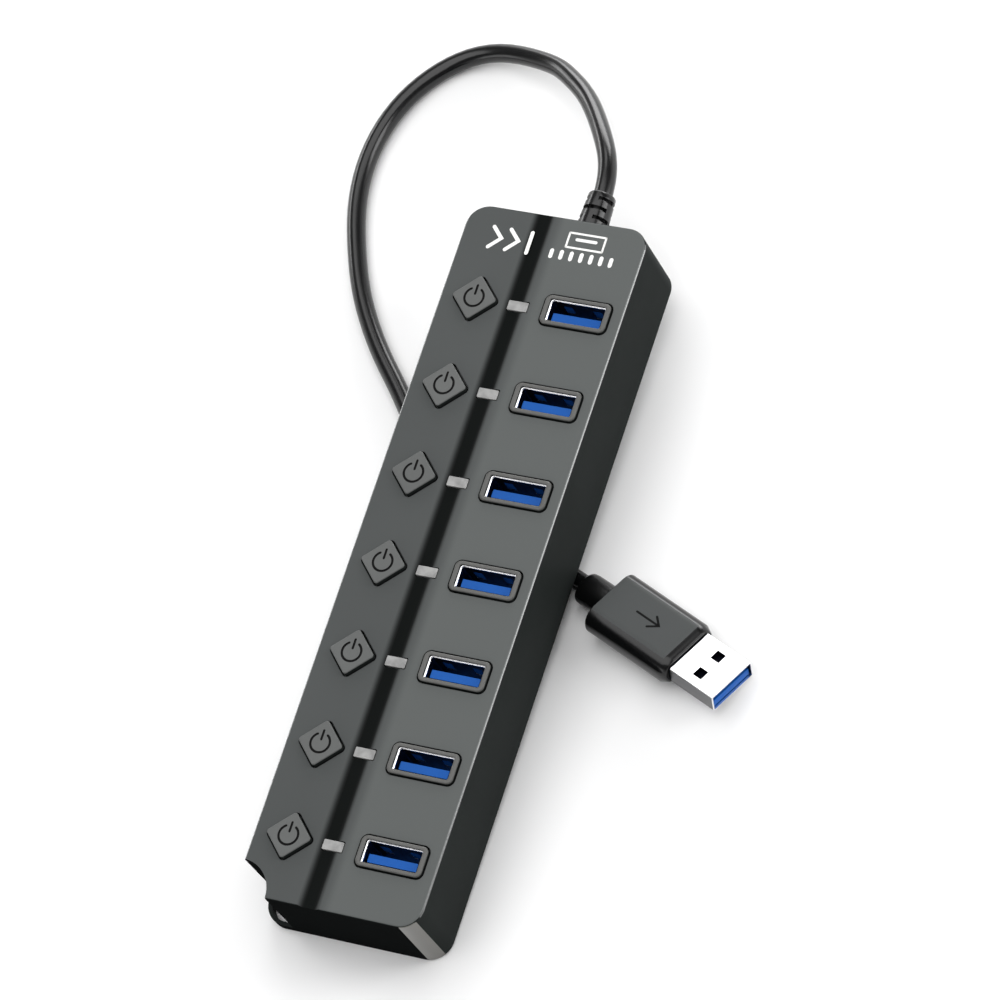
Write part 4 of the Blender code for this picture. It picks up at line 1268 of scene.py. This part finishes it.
# %% [markdown]
# The printing at the cord's end is white ink. Here it says nothing in letters: two chevrons left of
# the groove, and on the right a small picture of a socket over a row of seven dashes, one per port.

# %% Printed marks
INK = 0.02 * MM
ink_low, ink_high = FACE_Z, FACE_Z + INK


def ink_line(points, width):
    return stroke([(x * MM, y * MM) for x, y in points], width * MM, ink_low, ink_high)


CHEVRON_BACKS = (-14.1, -10.1)
MARK_LOW, MARK_MIDDLE, MARK_TOP = 70.5, 72.9, 75.3
DASH_PITCH = 2.3
marks = []
for back in CHEVRON_BACKS:
    marks.append(ink_line([(back, MARK_TOP), (back + 2.4, MARK_MIDDLE), (back, MARK_LOW)], 0.85))
marks.append(ink_line([(-5.1, MARK_TOP), (-5.1, MARK_LOW)], 0.85))
socket_sign = [(3.2, 73.4), (3.2, 76.8), (11.6, 76.8), (11.6, 73.4)]
for start, end in zip(socket_sign, socket_sign[1:] + socket_sign[:1]):
    marks.append(ink_line([start, end], 0.45))
marks.append(ink_line([(5.2, 75.4), (9.6, 75.4)], 0.7))
for k in PORTS:
    dash_x = 7.4 + (k - 4) * DASH_PITCH
    marks.append(ink_line([(dash_x, 70.7), (dash_x, 72.1)], 0.9))
marks_piece = new_piece("face_marks", gather(marks), MARK_WHITE)
settle(marks_piece, CASE, "hub", "case_plastic")
print("printed strokes:", len(marks))

# %% [markdown]
# The plug's grip has a flat satin top and bottom and glossy rounded sides, and a short boot where the
# cord comes in. The grip is a skin of outlines along its length, made level and then laid down. The
# plug lies rolled over a little, and each section of the boot sinks until it nearly meets the table.

# %% Plug grip
PLUG_CENTRE = (0.0404, 0.0001, 0.0048)
PLUG_HEADING = math.radians(-22.3)
PLUG_ROLL = math.radians(-14)
plug_turn = Matrix.Rotation(PLUG_HEADING, 4, "Z") @ Matrix.Rotation(PLUG_ROLL, 4, "X")
PLUG = Matrix.Translation(PLUG_CENTRE) @ plug_turn
grip_low, grip_high = box_in("plug_overmould", PLUG.inverted())
GRIP_BACK = -10.9 * MM
GRIP_FRONT = grip_high.x
GRIP_WIDTH, GRIP_HEIGHT = grip_high.y - grip_low.y, 2 * grip_high.z
GRIP_ROUND = 3.4 * MM
END_ROUND = 0.25 * MM


def laid_down(ring):
    """A level outline, tipped so that its height runs along the plug."""
    return [(z, x, -y) for x, y, z in ring]


def grip_outline(x, inset):
    width, height = GRIP_WIDTH - 2 * inset, GRIP_HEIGHT - 2 * inset
    return laid_down(outline(width, height, GRIP_ROUND - inset * 0.7, x, steps=10))


grip_rings = [grip_outline(GRIP_BACK + along, inset) for inset, along in quarter_round(END_ROUND)]
grip_rings += [grip_outline(GRIP_FRONT - 1.7 * MM, 0), grip_outline(GRIP_FRONT - 0.2 * MM, 0.7 * MM)]
grip_rings.append(grip_outline(GRIP_FRONT, 0.95 * MM))
plug_grip = new_piece("plug_grip", skin(grip_rings), GRIP_PLASTIC, GRIP_TOP_PLASTIC)
for face in plug_grip.data.polygons:
    if abs(face.normal.z) > 0.97 and abs(face.center.z) > 0.45 * GRIP_HEIGHT:
        face.material_index = 1
BOOT_BACK = grip_low.x
BOOT_SINK = 0.15 * MM
boot_sections = (
    (BOOT_BACK, 2.6, 2.4),
    (BOOT_BACK + 0.1 * MM, 2.95, 2.75),
    (BOOT_BACK + 0.35 * MM, 3.3, 3.1),
    (BOOT_BACK + 0.9 * MM, 3.6, 3.35),
    (BOOT_BACK + 2.0 * MM, 3.7, 3.5),
    (GRIP_BACK + 2 * MM, 3.75, 3.7),
)
boot_turns = [2 * math.pi * i / 48 for i in range(48)]
boot_rings = []
for x, half_width, half_height in boot_sections:
    reach = math.hypot(half_width * math.sin(PLUG_ROLL), half_height * math.cos(PLUG_ROLL)) * MM
    drop = PLUG_CENTRE[2] - BOOT_SINK - reach
    middle_y, middle_z = -drop * math.sin(PLUG_ROLL), -drop * math.cos(PLUG_ROLL)
    side, rise = half_width * MM, half_height * MM
    boot_rings.append([(x, middle_y + side * math.cos(a), middle_z + rise * math.sin(a)) for a in boot_turns])
carve(plug_grip, skin(boot_rings), "UNION")
apply_stack(plug_grip)
keep_flats(plug_grip, sharp=math.radians(50))
settle(plug_grip, PLUG, "hub", "plug_grip", "plug_overmould")
print("plug grip in mm:", round((GRIP_FRONT - BOOT_BACK) / MM, 1))

# %% [markdown]
# The plug's nose is folded nickel-plated steel with two square windows in each face and a small dimple
# on top. Its sides are the same nickel painted darker than its faces: painted shade.

# %% Plug nose
nose_low, nose_high = box_in("plug_shell", PLUG.inverted())
NOSE = nose_high - nose_low
NOSE_WALL = 0.3 * MM
DIMPLE_RADIUS = 0.55 * MM


def nose_outline(x, inset, corner):
    return laid_down(outline(NOSE.y - 2 * inset, NOSE.z - 2 * inset, corner, x, steps=4))


nose_rings = [
    nose_outline(nose_low.x, 0, 0.45 * MM),
    nose_outline(nose_high.x - 0.1 * MM, 0, 0.45 * MM),
    nose_outline(nose_high.x, 0.1 * MM, 0.4 * MM),
    nose_outline(nose_high.x, NOSE_WALL, 0.2 * MM),
    nose_outline(nose_low.x, NOSE_WALL, 0.2 * MM),
]
plug_nose = new_piece("plug_nose", skin(nose_rings, around=True), PLUG_METAL, SHADED_EDGE_METAL)
# The sides take the nickel's painted shade.
for face in plug_nose.data.polygons:
    if abs(face.normal.y) > 0.9:
        face.material_index = 1
window_x = nose_high.x - 6.2 * MM
nose_windows = [
    block(2.3 * MM, 2.4 * MM, 0.1 * MM, (-4 * MM, 4 * MM), (window_x, y * MM), steps=2) for y in (-2.7, 2.7)
]
carve(plug_nose, gather(nose_windows), material=PLUG_METAL)
dimple_x = nose_low.x + 1.9 * MM
dimple_turns = [math.radians(a) for a in range(100, 261, 20)]
dimple_path = [(dimple_x + DIMPLE_RADIUS * math.cos(a), DIMPLE_RADIUS * math.sin(a)) for a in dimple_turns]
dimple = stroke(dimple_path, 0.16 * MM, NOSE.z / 2 - 0.15 * MM, NOSE.z / 2 + MM)
carve(plug_nose, dimple, material=PLUG_METAL)
apply_stack(plug_nose)
keep_flats(plug_nose)
settle(plug_nose, PLUG, "hub", "socket_metal", "plug_shell")
print("plug nose in mm:", round(NOSE.x / MM, 1))

# %% [markdown]
# Inside the nose, the lower half is blue plastic with four contacts on it, and a dark sheet above them
# closes the view through the windows: a painted shadow, for the shade in the hollow.

# %% Plug insert
insert_low, insert_high = box_in("plug_insulator", PLUG.inverted())
insert_size = (insert_high.x - insert_low.x, insert_high.y - insert_low.y)
insert_middle = ((insert_high.x + insert_low.x) / 2, 0)
insert_heights = (insert_low.z, insert_high.z)
insert_shape = block(*insert_size, 0.1 * MM, insert_heights, insert_middle, steps=2)
insert = new_piece("plug_tongue", insert_shape, BLUE_PLASTIC)
soften(insert, 0.1 * MM)
settle(insert, PLUG, "hub", "blue_plastic", "plug_insulator")

pad_heights = (insert_high.z - 0.02 * MM, insert_high.z + 0.08 * MM)
pad_x = nose_high.x - 5.3 * MM
pads = [block(8 * MM, CONTACT_WIDTH, 0.05 * MM, pad_heights, (pad_x, y * MM), steps=1) for y in CONTACTS_AT]
plug_contacts = new_piece("plug_contacts", gather(pads), CONTACT_GOLD)
settle(plug_contacts, PLUG, "hub", "socket_metal")

# A dark sheet of painted shadow above the contacts, where the hollow is in shade.
shadow_sheet_heights = (insert_high.z + 0.12 * MM, insert_high.z + 0.45 * MM)
shadow_sheet_middle = ((nose_low.x + nose_high.x) / 2, 0)
shadow_sheet_shape = block(NOSE.x - 2.6 * MM, NOSE.y - 1.2 * MM, 0.1 * MM, shadow_sheet_heights, shadow_sheet_middle, steps=2)
plug_painted_shadow_sheet = new_piece("plug_painted_shadow_sheet", shadow_sheet_shape, SHADOW_SHEET_PLASTIC)
settle(plug_painted_shadow_sheet, PLUG, "hub", "blue_plastic")
print("plug insert in mm:", [round(v / MM, 1) for v in insert_size])

# %% [markdown]
# The top of the grip carries one plain arrow that points to the nose.

# %% Plug mark
ARROW_STROKE = 0.5 * MM
arrow_shaft = [(-3.0 * MM, 0), (3.0 * MM, 0)]
arrow_head = [(1.2 * MM, 1.6 * MM), (3.2 * MM, 0), (1.2 * MM, -1.6 * MM)]
mark_low = GRIP_HEIGHT / 2
arrow = [stroke(line, ARROW_STROKE, mark_low, mark_low + INK) for line in (arrow_shaft, arrow_head)]
plug_mark = new_piece("plug_mark", gather(arrow), SYMBOL_BLACK)
settle(plug_mark, PLUG @ Matrix.Translation((0.4 * MM, 0, 0)), "hub", "plug_grip")

# %% [markdown]
# The rest of the model's own solids are right as they are: the back plate, the board and what stands
# on it. They only need their materials.

# %% Finishes of the model's own solids
FINISHES = {
    "bottom_cover": PLATE_PLASTIC,
    "circuit_board": BOARD_LACQUER,
    "hub_chip_1": CHIP_RESIN,
    "hub_chip_2": CHIP_RESIN,
    "crystal_can": CAN_METAL,
    "cord_tail": JACKET_RUBBER,
}
FINISHES.update({f"switch_{k}": SWITCH_PLASTIC for k in PORTS})
for node, material in FINISHES.items():
    for material_slot in frame["nodes"][node].material_slots:
        material_slot.material = material
print("solids kept from the model:", len(FINISHES))

# %% [markdown]
# The room is a pale table and a white horizon under a dimmer sky, as in a light tent. The tent gives
# every rounded edge its thin bright line.

# %% Table and tent
def table_top(name, colour):
    material, tree = empty_material(name)

    place = tree.nodes.new("ShaderNodeTexCoord")
    place.label = "place on the table"

    paper = tree.nodes.new("ShaderNodeTexNoise")
    paper.label = "paper"
    paper.inputs["Scale"].default_value = 8

    tone = tree.nodes.new("ShaderNodeValToRGB")
    tone.label = "tone of the paper"
    tone.color_ramp.elements[0].color = (*[c * 0.99 for c in colour], 1)
    tone.color_ramp.elements[1].color = (*colour, 1)

    shader = tree.nodes.new("ShaderNodeBsdfPrincipled")
    shader.label = "paper"
    shader.inputs["Roughness"].default_value = 0.8
    shader.inputs["Specular IOR Level"].default_value = 0.1

    output = tree.nodes.new("ShaderNodeOutputMaterial")
    output.label = "surface"

    for node, across, up in (
        (place, -900, 0), (paper, -700, 0), (tone, -500, 0), (shader, -200, 0), (output, 100, 0),
    ):
        node.location = (across, up)

    tree.links.new(place.outputs["Object"], paper.inputs["Vector"])
    tree.links.new(paper.outputs["Fac"], tone.inputs["Fac"])
    tree.links.new(tone.outputs["Color"], shader.inputs["Base Color"])
    tree.links.new(shader.outputs["BSDF"], output.inputs["Surface"])
    return material


TABLE_RADIUS, TABLE_THICKNESS = 6, 0.02
table_shape = cylinder(TABLE_RADIUS, -TABLE_THICKNESS, 0, (0, 0), sides=96)
table = new_piece("table", table_shape, table_top("table_paper", (0.93, 0.93, 0.93)))

world = bpy.data.worlds.new("tent")
bpy.context.scene.world = world
world.use_nodes = True
sky = world.node_tree
sky.nodes.clear()
direction = sky.nodes.new("ShaderNodeTexCoord")
direction.label = "direction"
height = sky.nodes.new("ShaderNodeSeparateXYZ")
height.label = "height above the horizon"
tent = sky.nodes.new("ShaderNodeValToRGB")
tent.label = "white horizon, dimmer sky"
tent.color_ramp.elements[0].position = 0.0
tent.color_ramp.elements[0].color = (1.0, 1.0, 1.0, 1)
tent.color_ramp.elements[1].position = 0.45
tent.color_ramp.elements[1].color = (0.12, 0.12, 0.122, 1)
background = sky.nodes.new("ShaderNodeBackground")
background.label = "tent"
background.inputs["Strength"].default_value = 1.4
world_output = sky.nodes.new("ShaderNodeOutputWorld")
world_output.label = "surroundings"
for node, across in ((direction, -900), (height, -700), (tent, -500), (background, -200), (world_output, 0)):
    node.location = (across, 0)
sky.links.new(direction.outputs["Generated"], height.inputs["Vector"])
sky.links.new(height.outputs["Z"], tent.inputs["Fac"])
sky.links.new(tent.outputs["Color"], background.inputs["Color"])
sky.links.new(background.outputs["Background"], world_output.inputs["Surface"])
print("table in m across:", 2 * TABLE_RADIUS)

# %% [markdown]
# The lamps are all large and soft. The one overhead lights the table and the face; the low ones stand
# round the hub, where the rounded sides of the cord and the plug and the flared sockets mirror them.

# %% Lights
def soft_light(name, place, aim, size, power):
    """A rectangular soft light that faces a point."""
    lamp = bpy.data.lights.new(name, "AREA")
    lamp.shape = "RECTANGLE"
    lamp.size, lamp.size_y = size
    lamp.energy = power
    light = bpy.data.objects.new(name, lamp)
    light.location = place
    light.rotation_euler = (Vector(place) - Vector(aim)).to_track_quat("Z", "Y").to_euler()
    bpy.context.scene.collection.objects.link(light)


soft_light("overhead_light", (-0.20, 0.10, 1.70), (-0.20, 0.10, 0), (2.2, 2.0), 30.0)
soft_light("side_light", (1.10, 0.50, 0.55), (0, 0, 0), (0.5, 0.9), 6.5)
soft_light("back_light", (-0.20, 1.40, 0.36), (0, 0, 0), (1.2, 0.5), 11.5)
soft_light("front_light", (-0.78, -1.04, 0.38), (0, 0, 0), (1.2, 0.4), 2.4)
soft_light("rear_light", (-0.38, 1.06, 0.99), (0, 0, 0), (0.5, 0.4), 1.6)
soft_light("left_light", (-1.30, 0.52, 0.36), (0, 0, 0), (0.6, 0.25), 2.8)
print("lights:", [light.name for light in bpy.data.lights])
